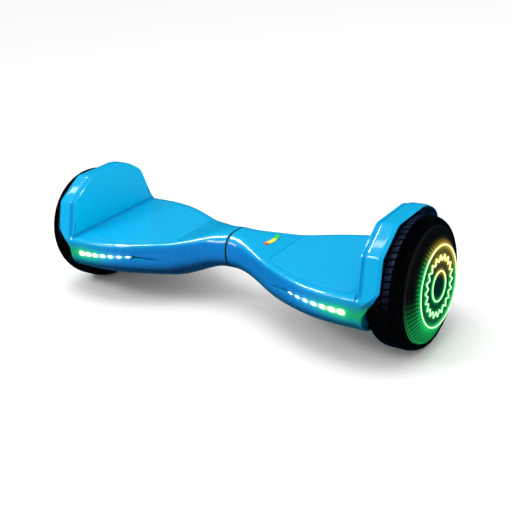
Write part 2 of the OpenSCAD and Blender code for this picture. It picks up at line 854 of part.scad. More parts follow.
light_ring_r = light_ring_d / 2;
module wheel_cover(side) {
    back = tyre_x + tyre_w - 3.6;
    color("#17181a") on_side(side) turned_on_axle([
        [rim_r + 2.8, plate_outer_x + 4], [rim_r + 2.8, back], [axle_z - 10.4, back],
        [axle_z - 10.4, back + 2.4], [light_ring_r + 2.6, wheel_face_x - 0.8],
        [light_ring_r + 1.6, wheel_face_x - 0.8], [light_ring_r + 1.6, wheel_face_x - 4],
        [light_ring_r - 3, wheel_face_x - 4], [light_ring_r - 3, plate_outer_x + 4]
    ]);
}

module hub_lights(side) {
    board_x = 290;
    color("white") on_side(side) {
        axle_ring(light_ring_r - 3, 22, board_x, board_x + board_t);
        for (k = [0 : 11]) rotate_on_axle(k * 30)
            translate([board_x + 1.4, -2.5, 37]) cube([1.8, 5, 5]);
    }
}

module light_disc(side) {
    color("#0c3318") on_side(side) turned_on_axle([
        [0, wheel_face_x - 3.6], [light_ring_r + 1.4, wheel_face_x - 3.6],
        [light_ring_r + 1.4, wheel_face_x - 1], [30, wheel_face_x - 0.4], [0, wheel_face_x]
    ]);
}

// Corners of one turn of the zigzag guide: steep on one side, gentle on the other
zigzag_teeth = 20;
function zigzag_points(r_low, r_high) = [
    for (k = [0 : zigzag_teeth - 1]) each [
        let (a = k * 360 / zigzag_teeth) [r_low * cos(a), r_low * sin(a)],
        let (a = (k + 0.5) * 360 / zigzag_teeth) [r_high * cos(a), r_high * sin(a)]
    ]
];

module light_guides(side) {
    ring_w = 1.3;
    color("lime") on_side(side) {
        for (r = [light_ring_r, 18.8])
            axle_ring(r + ring_w, r - ring_w, wheel_face_x - 0.2, wheel_face_x + 1.2);
        translate([wheel_face_x - 0.2, 0, axle_z]) rotate([0, 90, 0]) linear_extrude(1.4)
            difference() {
                polygon(zigzag_points(34, 39.5));
                polygon(zigzag_points(31.6, 36.6));
            }
    }
}

top_shell(LEFT);  // left_top_shell
top_shell(RIGHT);  // right_top_shell
fender(LEFT);  // left_fender
fender(RIGHT);  // right_fender
bottom_cover(LEFT);  // left_bottom_cover
bottom_cover(RIGHT);  // right_bottom_cover
foot_pad(LEFT);  // left_foot_pad
foot_pad(RIGHT);  // right_foot_pad
bar_lens(LEFT);  // left_bar_lens
bar_lens(RIGHT);  // right_bar_lens
bar_board(LEFT);  // left_bar_board
bar_board(RIGHT);  // right_bar_board
seam_ring();
gauge_window();
left_frame();
right_frame();
pivot_shaft();
pivot_bushes();
pivot_circlips();
axle_clamp(LEFT);  // left_axle_clamp
axle_clamp(RIGHT);  // right_axle_clamp
half_screws(LEFT);  // left_half_screws
half_screws(RIGHT);  // right_half_screws
balance_board(LEFT);  // left_balance_board
balance_board(RIGHT);  // right_balance_board
battery_pack();
main_board();
heat_sink();
wiring_harness();
right_motor_cable();
power_button();
button_housing();
charge_socket();
charge_cap();
wheel_axle(LEFT);  // left_axle
wheel_axle(RIGHT);  // right_axle
stator_core(LEFT);  // left_stator_core
stator_core(RIGHT);  // right_stator_core
windings(LEFT);  // left_windings
windings(RIGHT);  // right_windings
rim(LEFT);  // left_rim
rim(RIGHT);  // right_rim
magnets(LEFT);  // left_magnets
magnets(RIGHT);  // right_magnets
motor_cover(LEFT);  // left_motor_cover
motor_cover(RIGHT);  // right_motor_cover
motor_bolts(LEFT);  // left_motor_bolts
motor_bolts(RIGHT);  // right_motor_bolts
bearings(LEFT);  // left_bearings
bearings(RIGHT);  // right_bearings
tyre(LEFT);  // left_tyre
tyre(RIGHT);  // right_tyre
wheel_cover(LEFT);  // left_wheel_cover
wheel_cover(RIGHT);  // right_wheel_cover
hub_lights(LEFT);  // left_hub_lights
hub_lights(RIGHT);  // right_hub_lights
light_disc(LEFT);  // left_light_disc
light_disc(RIGHT);  // right_light_disc
light_guides(LEFT);  // left_light_guides
light_guides(RIGHT);  // right_light_guides
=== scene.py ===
import json
import math

import bmesh
import bpy
import numpy as np
from mathutils import Matrix, Vector


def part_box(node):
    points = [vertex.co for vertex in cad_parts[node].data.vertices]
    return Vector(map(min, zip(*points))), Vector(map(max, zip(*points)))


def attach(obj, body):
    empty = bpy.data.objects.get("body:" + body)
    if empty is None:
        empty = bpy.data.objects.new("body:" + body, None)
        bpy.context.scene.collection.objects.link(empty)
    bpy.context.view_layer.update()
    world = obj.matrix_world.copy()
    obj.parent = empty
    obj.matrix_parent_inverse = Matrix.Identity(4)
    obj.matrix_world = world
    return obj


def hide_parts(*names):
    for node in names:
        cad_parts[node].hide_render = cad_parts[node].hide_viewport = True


# Self balancing hoverboard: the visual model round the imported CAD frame.
# X runs along the axle, -Y is the front, +Z is up. Lengths below are millimetres until a mesh is made.
# Each half is drawn for the right side, where x is the distance from the middle, and mirrored.

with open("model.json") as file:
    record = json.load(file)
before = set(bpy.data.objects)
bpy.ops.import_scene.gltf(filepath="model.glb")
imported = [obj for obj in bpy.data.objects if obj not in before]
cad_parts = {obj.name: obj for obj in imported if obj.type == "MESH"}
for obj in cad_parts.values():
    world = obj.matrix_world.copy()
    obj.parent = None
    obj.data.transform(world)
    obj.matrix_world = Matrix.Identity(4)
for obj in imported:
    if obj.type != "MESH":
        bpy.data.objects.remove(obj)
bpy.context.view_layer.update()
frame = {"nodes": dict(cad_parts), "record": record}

MM = 0.001
LEFT, RIGHT = -1, 1
SIDES = {LEFT: "left", RIGHT: "right"}


def node_box(node):
    """The lowest and highest corner of a CAD node, in millimetres."""
    low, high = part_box(node)
    return low / MM, high / MM


# ---- Sizes from the frame ----

tyre_low, tyre_high = node_box("right_tyre")
shell_low = node_box("right_top_shell")[0]
fender_high = node_box("right_fender")[1]
cover_low = node_box("right_bottom_cover")[0]
pad_low, pad_high = node_box("right_foot_pad")
lens_low, lens_high = node_box("right_bar_lens")
guide_low, guide_high = node_box("right_light_guides")
seam_low, seam_high = node_box("seam_ring")

AXLE_Z = (tyre_low.z + tyre_high.z) / 2
TYRE_R = (tyre_high.z - tyre_low.z) / 2
TYRE_IN, TYRE_OUT = tyre_low.x, tyre_high.x
SEAM_GAP = shell_low.x
LIP_X = fender_high.x
FENDER_TOP = fender_high.z
DECK_HALF_W = fender_high.y
BELLY_Z = cover_low.z
PAD_START, PAD_END = pad_low.x, pad_high.x
PAD_TOP = pad_high.z
PAD_T = 3.0
BAR_START, BAR_END = lens_low.x, lens_high.x
RING_OUTER = (guide_high.z - guide_low.z) / 2
FACE_X = guide_high.x

# The half's outline, by the same rules as the CAD shells
BODY_LEN = 236.0
WELL_X = 239.0
DECK_Z = 97.0
BELT_Z = 73.0
NECK_HALF_W = 30.5
NECK_HALF_H = 26.3
NECK_MID = AXLE_Z + 0.6
NECK_POWER, DECK_POWER, BELLY_POWER = 2.6, 12.0, 2.5
WAIST_FILL = 3.7
SPLIT = math.radians(60)
SPLIT_GAP = math.radians(0.6)
PAD_INSET = 12.0
PAD_GAP = 0.25
# Where the neck's section starts and ends to grow into the deck's, for each of its sizes
MIDDLE_GROWS, TOP_GROWS, BELLY_GROWS, POWER_GROWS = (10, 110), (0, 92), (8, 95), (15, 110)


def smooth(start, end, s):
    t = min(1.0, max(0.0, (s - start) / (end - start)))
    return t * t * (3 - 2 * t)


def mix(a, b, t):
    return a + (b - a) * t


def half_width(s):
    return mix(NECK_HALF_W, DECK_HALF_W, 1 - (1 - min(1.0, s / BODY_LEN) ** 2) ** WAIST_FILL)


def section_sizes(s):
    """Half width, widest height, height above it, depth below it, and the upper power, at s."""
    middle = mix(NECK_MID, BELT_Z, smooth(*MIDDLE_GROWS, s))
    top = mix(NECK_MID + NECK_HALF_H, DECK_Z, smooth(*TOP_GROWS, s))
    bottom = mix(NECK_MID - NECK_HALF_H, BELLY_Z, smooth(*BELLY_GROWS, s))
    power = mix(NECK_POWER, DECK_POWER, smooth(*POWER_GROWS, s))
    return half_width(s), middle, top - middle, middle - bottom, power


def on_section(s, angles):
    """The (y, z) points of the section in the given directions: 0 is the back, 90 degrees the top."""
    width, middle, above, below, power = section_sizes(s)
    upper = np.sin(angles) > 0
    p = np.where(upper, power, BELLY_POWER)
    height = np.where(upper, above, below)
    reach = (np.abs(np.cos(angles)) ** p + np.abs(np.sin(angles)) ** p) ** (-1 / p)
    return np.stack([width * reach * np.cos(angles), middle + height * reach * np.sin(angles)], 1)


def angle_at_y(s, y):
    """Direction of the upper section's point at y."""
    width, _, _, _, power = section_sizes(s)
    c = y / width
    return math.atan2((1 - abs(c) ** power) ** (1 / power), c)


def angle_at_z(s, z):
    """Direction of the front wall's point at height z."""
    _, middle, above, below, power = section_sizes(s)
    p, height = (power, above) if z >= middle else (BELLY_POWER, below)
    n = abs(z - middle) / height
    a = math.atan2(n, (1 - n ** p) ** (1 / p))
    return math.pi - a if z >= middle else math.pi + a


def split_direction():
    """Direction of the line where the bottom cover takes over from the top shell."""
    c = math.cos(SPLIT) ** (2 / BELLY_POWER)
    n = math.sin(SPLIT) ** (2 / BELLY_POWER)
    return math.atan2(n, c)


# ---- Curve helpers ----

TURN_WEIGHT = 14.0


def spread(points, count, turn_weight=TURN_WEIGHT):
    """count + 1 points along a fine polyline, closer together where it turns."""
    steps = np.diff(points, axis=0)
    lengths = np.linalg.norm(steps, axis=1)
    headings = np.unwrap(np.arctan2(steps[:, 1], steps[:, 0]))
    turns = np.abs(np.diff(headings, prepend=headings[0]))
    travel = np.concatenate([[0.0], np.cumsum(lengths + turn_weight * turns)])
    wanted = np.linspace(0, travel[-1], count + 1)
    return np.stack([np.interp(wanted, travel, points[:, k]) for k in range(points.shape[1])], 1)


def toward(here, other, reach):
    """A point at most reach along the way from here to other, and short of the middle."""
    way = other - here
    return here + way * min(0.45, reach / max(1e-6, np.linalg.norm(way)))


def bend(a, corner, b, count):
    """Points of a curve from a to b, drawn towards the corner between them."""
    shares = np.linspace(0, 1, count)
    return [a * (1 - t) ** 2 + corner * 2 * t * (1 - t) + b * t ** 2 for t in shares]


def rounded(points, reach):
    """A fine, even polyline through the points with its corners rounded off."""
    points = [np.array(p, float) for p in points]
    line = [points[0]]
    for before, here, after in zip(points, points[1:], points[2:]):
        line.extend(bend(toward(here, before, reach), here, toward(here, after, reach), 9))
    line.append(points[-1])
    return spread(np.array(line), 899, turn_weight=0)


def rounded_path(corners, reaches, spans):
    """A path with its inner corners rounded, and a set number of points on each stretch."""
    path, start = [], corners[0]
    for before, here, after, reach, span in zip(corners, corners[1:], corners[2:], reaches, spans):
        a, b = toward(here, before, reach), toward(here, after, reach)
        path.extend(start + (a - start) * t for t in np.linspace(0, 1, span + 1)[1:-1])
        path.extend(bend(a, here, b, 4))
        start = b
    path.extend(start + (corners[-1] - start) * t for t in np.linspace(0, 1, spans[-1] + 1)[1:])
    return path


def even_angles(steps):
    return np.arange(steps) * 2 * math.pi / steps


def at_x(x, line):
    """The points of a (y, z) line in the plane at x."""
    return np.column_stack([np.full(len(line), x), line])


def round_axle(radius, angle):
    """The y and z of a point, or of many, at a radius from the axle: 0 is the back, 90 degrees the top."""
    return radius * np.cos(angle), AXLE_Z + radius * np.sin(angle)


# ---- Mesh helpers ----

def new_object(name, mesh):
    piece = bpy.data.objects.new(name, mesh)
    bpy.context.scene.collection.objects.link(piece)
    return piece


def grid_faces(rows, columns, wrap=False, skip=None):
    """Faces of a grid of points; wrap closes it both ways, skip(i, j) leaves a face out."""
    faces = []
    for i in range(rows if wrap else rows - 1):
        for j in range(columns if wrap else columns - 1):
            if skip and skip(i, j):
                continue
            k, m = (i + 1) % rows, (j + 1) % columns
            faces.append((i * columns + j, i * columns + m, k * columns + m, k * columns + j))
    return faces


def build(name, parts, side=RIGHT):
    """A mesh object from (points, faces) parts in millimetres, mirrored for the left side."""
    points, faces = [], []
    for part_points, part_faces in parts:
        start = len(points)
        points.extend(np.asarray(part_points, float).reshape(-1, 3).tolist())
        faces.extend(tuple(start + v for v in face) for face in part_faces)
    array = np.array(points) * MM
    if side == LEFT:
        array[:, 0] *= -1
        faces = [face[::-1] for face in faces]
    mesh = bpy.data.meshes.new(name)
    mesh.from_pydata(array.tolist(), [], faces)
    mesh.update()
    return new_object(name, mesh)


def modify(piece, kind, **settings):
    """Gives the piece a modifier and turns it into the piece's mesh."""
    modifier = piece.modifiers.new(kind.lower(), kind)
    for key, value in settings.items():
        setattr(modifier, key, value)
    graph = bpy.context.evaluated_depsgraph_get()
    mesh = bpy.data.meshes.new_from_object(piece.evaluated_get(graph))
    piece.modifiers.clear()
    piece.data = mesh


def shade(piece, sharp_angle=40):
    """Smooth shading, except across edges sharper than the angle."""
    mesh = piece.data
    mesh.shade_smooth()
    mesh.set_sharp_from_angle(angle=math.radians(sharp_angle))


def round_edges(piece, width, segments=2):
    """Bevels the piece's sharp edges."""
    modify(
        piece, "BEVEL", width=width * MM, segments=segments, limit_method="ANGLE",
        angle_limit=math.radians(35), use_clamp_overlap=True,
    )


def thicken(piece, thickness):
    """Gives an open skin its wall, on the inner side."""
    modify(
        piece, "SOLIDIFY", thickness=thickness * MM, offset=-1,
        use_even_offset=True, thickness_clamp=1.0,
    )


def cut(piece, cutter):
    """Takes the cutter's shape out of the piece."""
    modify(piece, "BOOLEAN", operation="DIFFERENCE", solver="EXACT", object=cutter)
    bpy.data.objects.remove(cutter)


def join(piece, other):
    """Adds the other object's mesh to the piece."""
    work = bmesh.new()
    work.from_mesh(piece.data)
    work.from_mesh(other.data)
    work.to_mesh(piece.data)
    work.free()
    bpy.data.objects.remove(other)


def closed(name, parts, side=RIGHT):
    """A closed mesh object, its faces pointing outwards."""
    piece = build(name, parts, side)
    work = bmesh.new()
    work.from_mesh(piece.data)
    bmesh.ops.recalc_face_normals(work, faces=work.faces)
    work.to_mesh(piece.data)
    work.free()
    return piece


def sheet(name, rows, thickness, edge, segments=2, side=RIGHT):
    """A plate from rows of points, thickened on its inner side, with softened edges."""
    rows = np.array(rows)
    piece = build(name, [(rows, grid_faces(*rows.shape[:2]))], side)
    thicken(piece, thickness)
    round_edges(piece, edge, segments)
    shade(piece)
    return piece


def plug(start, end):
    """Points and faces of a closed solid between two loops."""
    count = len(start)
    faces = [(k, (k + 1) % count, count + (k + 1) % count, count + k) for k in range(count)]
    faces += [tuple(range(count))[::-1], tuple(range(count, 2 * count))]
    return [*start, *end], faces


def settle(piece, body, slot, nodes, material=None):
    """Puts a finished piece on its body, in place of the CAD nodes."""
    piece.data.materials.clear()
    piece.data.materials.append(material or materials[slot])
    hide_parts(*nodes)
    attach(piece, body)


# ---- Materials ----

class Finish:
    """A material with short calls for its shader nodes."""

    def __init__(self, name):
        self.material = bpy.data.materials.new(name)
        self.material.use_nodes = True
        self.tree = self.material.node_tree
        self.shader = self.tree.nodes["Principled BSDF"]

    def node(self, kind, inputs=(), **settings):
        made = self.tree.nodes.new("ShaderNode" + kind)
        for key, value in settings.items():
            setattr(made, key, value)
        for key, value in dict(inputs).items():
            self.put(value, made.inputs[key])
        return made

    def put(self, value, socket):
        """Links an output to the socket, or sets a plain value on it."""
        if isinstance(value, bpy.types.NodeSocket):
            self.tree.links.new(value, socket)
        else:
            socket.default_value = value

    def set(self, **values):
        """Sets shader sockets: Base_Color=... means the socket Base Color."""
        for key, value in values.items():
            self.put(value, self.shader.inputs[key.replace("_", " ")])

    def math(self, operation, *values):
        made = self.node("Math", operation=operation)
        for k, value in enumerate(values):
            self.put(value, made.inputs[k])
        return made.outputs[0]

    def plus(self, a, b):
        return self.math("ADD", a, b)

    def minus(self, a, b):
        return self.math("SUBTRACT", a, b)

    def times(self, first, *others):
        for other in others:
            first = self.math("MULTIPLY", first, other)
        return first

    def absolute(self, value):
        return self.math("ABSOLUTE", value)

    def place(self):
        """The x, y and z of the point on the piece, in millimetres."""
        where = self.node("TexCoord").outputs["Object"]
        inputs = {"Vector": where, "Scale": 1 / MM}
        where = self.node("VectorMath", inputs, operation="SCALE").outputs[0]
        return self.node("SeparateXYZ", {"Vector": where}).outputs

    def facing(self):
        """The x, y and z of the surface's direction, in the piece's own frame."""
        where = self.node("TexCoord").outputs["Normal"]
        return self.node("SeparateXYZ", {"Vector": where}).outputs

    def noise(self, scale, detail=4.0, roughness=0.55, stretch=None):
        where = self.node("TexCoord").outputs["Object"]
        if stretch:
            mapping = self.node("Mapping", {"Vector": where, "Scale": stretch})
            where = mapping.outputs[0]
        inputs = {"Vector": where, "Scale": scale, "Detail": detail, "Roughness": roughness}
        return self.node("TexNoise", inputs).outputs["Fac"]

    def spans(self, value, from_low, from_high, to_low=0.0, to_high=1.0):
        """Maps a value smoothly from one range to another, held at the ends."""
        inputs = {
            "Value": value, "From Min": from_low, "From Max": from_high,
            "To Min": to_low, "To Max": to_high,
        }
        made = self.node("MapRange", inputs, interpolation_type="SMOOTHSTEP")
        return made.outputs["Result"]

    def blend(self, factor, a, b):
        """A colour between a and b."""
        made = self.node("Mix", data_type="RGBA")
        self.put(factor, made.inputs[0])
        self.put(a, made.inputs[6])
        self.put(b, made.inputs[7])
        return made.outputs[2]

    def falloff(self, distance, width):
        """1 at distance 0, fading like a bell over width."""
        ratio = self.math("DIVIDE", distance, width)
        return self.math("EXPONENT", self.times(ratio, ratio, -1.0))

    def roughen(self, scale, detail, low, high):
        """Sets a roughness that wanders between low and high."""
        self.set(Roughness=self.spans(self.noise(scale, detail), 0.3, 0.7, low, high))

    def bump(self, height, depth, strength=1.0):
        made = self.node("Bump", {"Height": height, "Strength": strength, "Distance": depth})
        self.put(made.outputs[0], self.shader.inputs["Normal"])


# Sizes that both the materials and the meshes use
LAMPS = 7
LAMP_INSET = 6
BAR_MID_Z, BAR_SLOPE = 78.6, -0.028
RIBS = 64
RIB_STEPS = 6
COVER_EDGE_R = TYRE_R - 10.4
INNER_GUIDE_R = 18.8
RIM_BAND = (COVER_EDGE_R - 3.6, COVER_EDGE_R - 3.0)
RIM_RING_PITCH = 1.5

CYAN = (0.0, 0.36, 0.66, 1)
SHADE_BLUE = (0.0, 0.155, 0.48, 1)
SHADOW_NAVY = (0.0, 0.012, 0.06, 1)
LIT_SIDE_CYAN = (0.0, 0.5, 0.82, 1)
CLOUD_CYAN = (0.0, 0.42, 0.74, 1)
BAR_SPILL_GREEN = (0.0, 0.1, 0.03, 1)
GREEN_LIGHT = (0.02, 0.9, 0.2, 1)
CYAN_LIGHT = (0.1, 0.75, 1.0, 1)
GOLD_LIGHT = (1.0, 0.72, 0.06, 1)


def bar_height(f, distance):
    """Height of the light bar's middle at a distance along the half, as a shader value."""
    from_start = f.minus(distance, BAR_START)
    return f.math("MULTIPLY_ADD", from_start, BAR_SLOPE, BAR_MID_Z)


def painted_light_and_shade(f, distance, z):
    """The paint's colour with painted light and shade: painted light on the ends, painted shade on the
    upright walls, low down and in the valley by the fender, and a painted shadow below.
    """
    along_axle, toward_back, up = f.facing()
    sideways = f.absolute(along_axle)
    on_end = f.spans(sideways, 0.6, 0.95)
    upright = f.spans(f.absolute(toward_back), 0.35, 0.9)
    top = f.spans(distance, *TOP_GROWS, NECK_MID + NECK_HALF_H, DECK_Z)
    low_down = f.spans(f.minus(z, top), 0.0, -11)
    # Painted shade on the upright walls, strongest low down
    deep = f.times(upright, f.math("MULTIPLY_ADD", low_down, 0.9, 0.1))
    # Painted light: paler on the ends up high
    raised = f.times(on_end, f.spans(z, 78, 98))
    # Painted shade on upright surfaces half turned along the axle, such as the strip beside the fender's
    # wall
    strip_shade = f.times(f.falloff(f.minus(sideways, 0.45), 0.18), upright)
    # Painted shade low down on the ends
    low_end_shade = f.times(on_end, f.spans(z, 92, 74))
    # Painted shade in the valley between the deck and the fender's wall
    from_valley = f.minus(distance, BODY_LEN - 0.6)
    above_deck = f.minus(z, DECK_Z + 0.3)
    valley_shade = f.times(f.falloff(from_valley, 1.7), f.falloff(above_deck, 2.6))
    colour = f.blend(raised, CYAN, LIT_SIDE_CYAN)
    colour = f.blend(deep, colour, SHADE_BLUE)
    colour = f.blend(f.times(strip_shade, 0.75), colour, SHADE_BLUE)
    colour = f.blend(f.times(low_end_shade, 0.8), colour, SHADOW_NAVY)
    # Painted shadow: dark navy on surfaces that face down
    colour = f.blend(f.spans(up, 0.05, -0.55), colour, SHADOW_NAVY)
    colour = f.blend(f.times(valley_shade, 0.75), colour, SHADE_BLUE)
    return f.blend(f.spans(f.noise(9.0, 2.0), 0.3, 0.75, 0.0, 0.08), colour, CLOUD_CYAN)


def paint_blue():
    """Gloss blue paint with painted light and shade, and a painted glow where light spills from the light
    bar on to it.
    """
    f = Finish("paint_blue")
    x, y, z = f.place()
    distance = f.absolute(x)
    colour = painted_light_and_shade(f, distance, z)
    scuffs = f.noise(60.0, 6.0, 0.7, (1.0, 6.0, 1.0))
    f.set(Roughness=f.spans(scuffs, 0.35, 0.8, 0.24, 0.3))
    f.set(Specular_IOR_Level=0.15, Coat_Weight=0.7, Coat_Roughness=0.03)
    f.bump(f.noise(420.0, 2.0), 0.00002, 0.12)
    # Painted glow by the light bar: level with the bar and towards the wheel, the paint turns dark green
    # with a green glow on it
    height = f.minus(z, bar_height(f, distance))
    along = f.spans(distance, 150, 228)
    front = f.spans(y, -76, -88)
    spill = f.times(f.falloff(height, 10.5), along, front)
    f.set(Base_Color=f.blend(f.times(spill, 0.9), colour, BAR_SPILL_GREEN))
    # Painted glow round each lamp, on the paint
    halo = f.times(lamp_row(f, distance, height, (5.0, 9.5), 0.9), front)
    tint = f.blend(f.spans(distance, 150, 195), CYAN_LIGHT, GREEN_LIGHT)
    f.set(Emission_Color=tint, Emission_Strength=f.plus(f.times(spill, 0.3), f.times(halo, 0.36)))
    return f.material


def lamp_row(f, distance, height, sizes, flat):
    """Bright spots at the lamps: sizes at the bar's thin and wide end, and height over width."""
    first = BAR_START + LAMP_INSET
    pitch = (BAR_END - BAR_START - 2 * LAMP_INSET) / (LAMPS - 1)
    total = 0.0
    for k in range(LAMPS):
        offset = f.minus(distance, first + k * pitch)
        size = mix(*sizes, k / (LAMPS - 1))
        spot = f.times(f.falloff(offset, size), f.falloff(height, size * flat))
        total = f.plus(total, spot)
    return total


def pad_blue():
    """The foot pads: the same blue, softer, with a fine moulded grain."""
    f = Finish("pad_blue")
    cloud = f.noise(14.0, 3.0)
    colour = f.blend(cloud, (0.0, 0.35, 0.65, 1), (0.0, 0.39, 0.70, 1))
    f.set(Base_Color=colour, Specular_IOR_Level=0.15, Coat_Weight=0.35, Coat_Roughness=0.12)
    f.roughen(80.0, 5.0, 0.3, 0.42)
    f.bump(f.noise(1500.0, 2.0), 0.00005, 0.4)
    return f.material


def black_plastic(name, grain=900.0, roughness=0.5, colour=(0.006, 0.007, 0.009, 1)):
    f = Finish(name)
    # The lighter colour of worn patches
    wear_and_sheen = tuple(c * 1.9 for c in colour[:3]) + (1,)
    f.set(Base_Color=f.blend(f.spans(f.noise(30.0, 6.0, 0.65), 0.35, 0.75), colour, wear_and_sheen))
    f.roughen(120.0, 4.0, roughness - 0.08, roughness + 0.1)
    f.set(Specular_IOR_Level=0.15)
    f.bump(f.noise(grain, 3.0), 0.00008, 0.5)
    return f.material


def tyre_rubber():
    """Black rubber, with a painted blue sheen on the tread blocks at the upper front of the wheel."""
    f = Finish("tyre_rubber")
    radius, _ = wheel_angle_parts(f)
    x = f.absolute(f.place()[0])
    tread = f.spans(x, TYRE_IN + 12, TYRE_IN + 16)
    tread = f.times(tread, f.spans(x, TYRE_OUT - 12, TYRE_OUT - 18))
    wear_and_sheen = f.times(tread, f.spans(radius, TYRE_R - 0.5, TYRE_R - 0.15))
    dust = f.spans(f.noise(45.0, 7.0, 0.7), 0.4, 0.8)
    # Painted sheen: the block tops turn blue at the upper front of the wheel
    _, upper_front = wheel_angle_parts(f, (-0.55, 0.83))
    wear_and_sheen = f.times(wear_and_sheen, f.spans(upper_front, 0.45, 0.98))
    rubber = f.blend(dust, (0.0005, 0.0006, 0.0008, 1), (0.0025, 0.0025, 0.0035, 1))
    sheen_blue = f.blend(dust, (0.005, 0.007, 0.024, 1), (0.013, 0.016, 0.05, 1))
    f.set(Base_Color=f.blend(wear_and_sheen, rubber, sheen_blue), Specular_Tint=(0.5, 0.62, 1.0, 1))
    f.set(Specular_IOR_Level=f.math("MULTIPLY_ADD", wear_and_sheen, 0.3, 0.01))
    f.roughen(200.0, 4.0, 0.34, 0.5)
    f.bump(f.noise(1300.0, 3.0), 0.00008, 0.6)
    return f.material


def wheel_angle_parts(f, way=(0.45, 0.89)):
    """Radius from the axle, and how far a point lies that way in y and z, from -1 to 1.

    The way is the gold side of the lights unless another is given.
    """
    _, y, z = f.place()
    rise = f.minus(z, AXLE_Z)
    radius = f.math("SQRT", f.plus(f.times(y, y), f.times(rise, rise)))
    toward = f.plus(f.times(y, way[0]), f.times(rise, way[1]))
    share = f.math("DIVIDE", toward, f.math("MAXIMUM", radius, 1.0))
    return radius, share


def light_tint(f, share):
    """Green round the wheel, turning gold at the top."""
    return f.blend(f.spans(share, 0.25, 0.95), GREEN_LIGHT, GOLD_LIGHT)


def ribbed_black():
    """The wheel's side cover: black, with a painted highlight on its rim band and a painted green glow on
    its ribs near the ring and at the bottom.
    """
    f = Finish("ribbed_black")
    radius, share = wheel_angle_parts(f)
    rib = f.spans(f.minus(1.0, groove_share(f)), 0.1, 0.6, 0.12, 1.0)
    rim = f.spans(radius, *RIM_BAND)
    black = f.blend(f.noise(60.0, 5.0), (0.001, 0.0013, 0.0013, 1), (0.004, 0.005, 0.005, 1))
    # Painted highlight: a grey line on the rim band
    f.set(Base_Color=f.blend(rim, black, (0.011, 0.011, 0.012, 1)))
    f.set(Specular_IOR_Level=0.03)
    f.roughen(150.0, 4.0, 0.38, 0.52)
    f.bump(f.noise(1100.0, 3.0), 0.00006, 0.5)
    # Painted green glow near the light ring and spilling towards the bottom, on the ribs and in fine rings
    # on the rim band
    beyond = f.minus(radius, RING_OUTER)
    near_ring = f.times(f.falloff(beyond, 4.0), 0.45)
    _, upward = wheel_angle_parts(f, (0.1, 1.0))
    spill = f.times(f.spans(upward, 0.1, -0.8), f.falloff(beyond, 26), 0.4)
    rings = f.math("SINE", f.times(radius, 2 * math.pi / RIM_RING_PITCH))
    rings = f.math("MULTIPLY_ADD", rings, 0.8, 1.1)
    lit = f.plus(f.times(rib, f.minus(1.0, rim)), f.times(rings, rim))
    glow = f.times(f.plus(near_ring, spill), lit)
    f.set(Emission_Color=light_tint(f, share), Emission_Strength=glow)
    return f.material


def groove_share(f):
    """1 in the grooves between the wheel cover's ribs and 0 on the ribs."""
    _, y, z = f.place()
    turn = f.math("ARCTAN2", f.minus(z, AXLE_Z), y)
    phase = f.math("FRACT", f.times(turn, RIBS / (2 * math.pi)))
    middle = 0.5 / RIB_STEPS
    off = f.absolute(f.minus(f.math("FRACT", f.plus(phase, 0.5 - middle)), 0.5))
    return f.spans(off, 1.6 / RIB_STEPS, 0.6 / RIB_STEPS)


def smoked_disc():
    """The wheel's disc: dark and glossy, with a painted glow round the light guides behind it."""
    f = Finish("smoked_disc")
    radius, share = wheel_angle_parts(f)
    f.set(Base_Color=f.blend(f.noise(25.0, 3.0), (0.001, 0.010, 0.004, 1), (0.002, 0.02, 0.008, 1)))
    f.set(Specular_IOR_Level=0.03, Coat_Weight=0.1, Coat_Roughness=0.05)
    f.roughen(90.0, 3.0, 0.16, 0.26)
    f.bump(f.noise(300.0, 2.0), 0.00003, 0.3)
    glow = 0.0
    # The painted glow round the outer ring, the zigzag and the inner ring: radius, width and strength
    for middle, width, strength in ((50.0, 4.0, 0.42), (35.4, 6.5, 0.24), (INNER_GUIDE_R, 3.6, 0.34)):
        ring = f.falloff(f.minus(radius, middle), width)
        glow = f.plus(glow, f.times(ring, strength))
    f.set(Emission_Color=light_tint(f, share), Emission_Strength=glow)
    return f.material


def light_guide():
    """The glowing rings and zigzag: pale along the middle, coloured at the edges."""
    f = Finish("light_guide")
    _, share = wheel_angle_parts(f)
    core = f.blend(f.spans(share, 0.25, 0.95), (0.72, 1.0, 0.55, 1), (1.0, 0.96, 0.5, 1))
    outward = f.absolute(f.facing()[0])
    colour = f.blend(f.spans(outward, 0.3, 0.8), light_tint(f, share), core)
    patchy = f.spans(f.noise(70.0, 3.0), 0.3, 0.7, 1.15, 1.5)
    f.set(Base_Color=(0.1, 0.3, 0.12, 1), Roughness=0.3)
    f.set(Emission_Color=colour, Emission_Strength=patchy)
    return f.material


def bar_lens_light():
    """The light bar's lens: a row of white lamps in a strip that turns from cyan to green."""
    f = Finish("bar_lens_light")
    x, _, z = f.place()
    distance = f.absolute(x)
    height = f.minus(z, bar_height(f, distance))
    lamps = lamp_row(f, distance, height, (2.2, 3.6), 0.7)
    halo = lamp_row(f, distance, height, (3.8, 6.2), 0.8)
    tint = f.blend(f.spans(distance, 160, 200), CYAN_LIGHT, GREEN_LIGHT)
    warm = f.blend(f.spans(distance, 160, 210), (0.6, 0.95, 1.0, 1), (0.8, 1.0, 0.6, 1))
    colour = f.blend(f.spans(halo, 0.15, 0.7), tint, warm)
    colour = f.blend(f.spans(lamps, 0.05, 0.4), colour, (1, 1, 1, 1))
    strength = f.plus(f.times(lamps, 4.0), f.math("MULTIPLY_ADD", halo, 0.8, 0.4))
    base = f.blend(f.spans(distance, 160, 205), (0.0, 0.12, 0.3, 1), (0.0, 0.12, 0.04, 1))
    f.roughen(400.0, 2.0, 0.12, 0.3)
    f.set(Base_Color=base, Coat_Weight=0.6)
    f.set(Emission_Color=colour, Emission_Strength=strength)
    return f.material


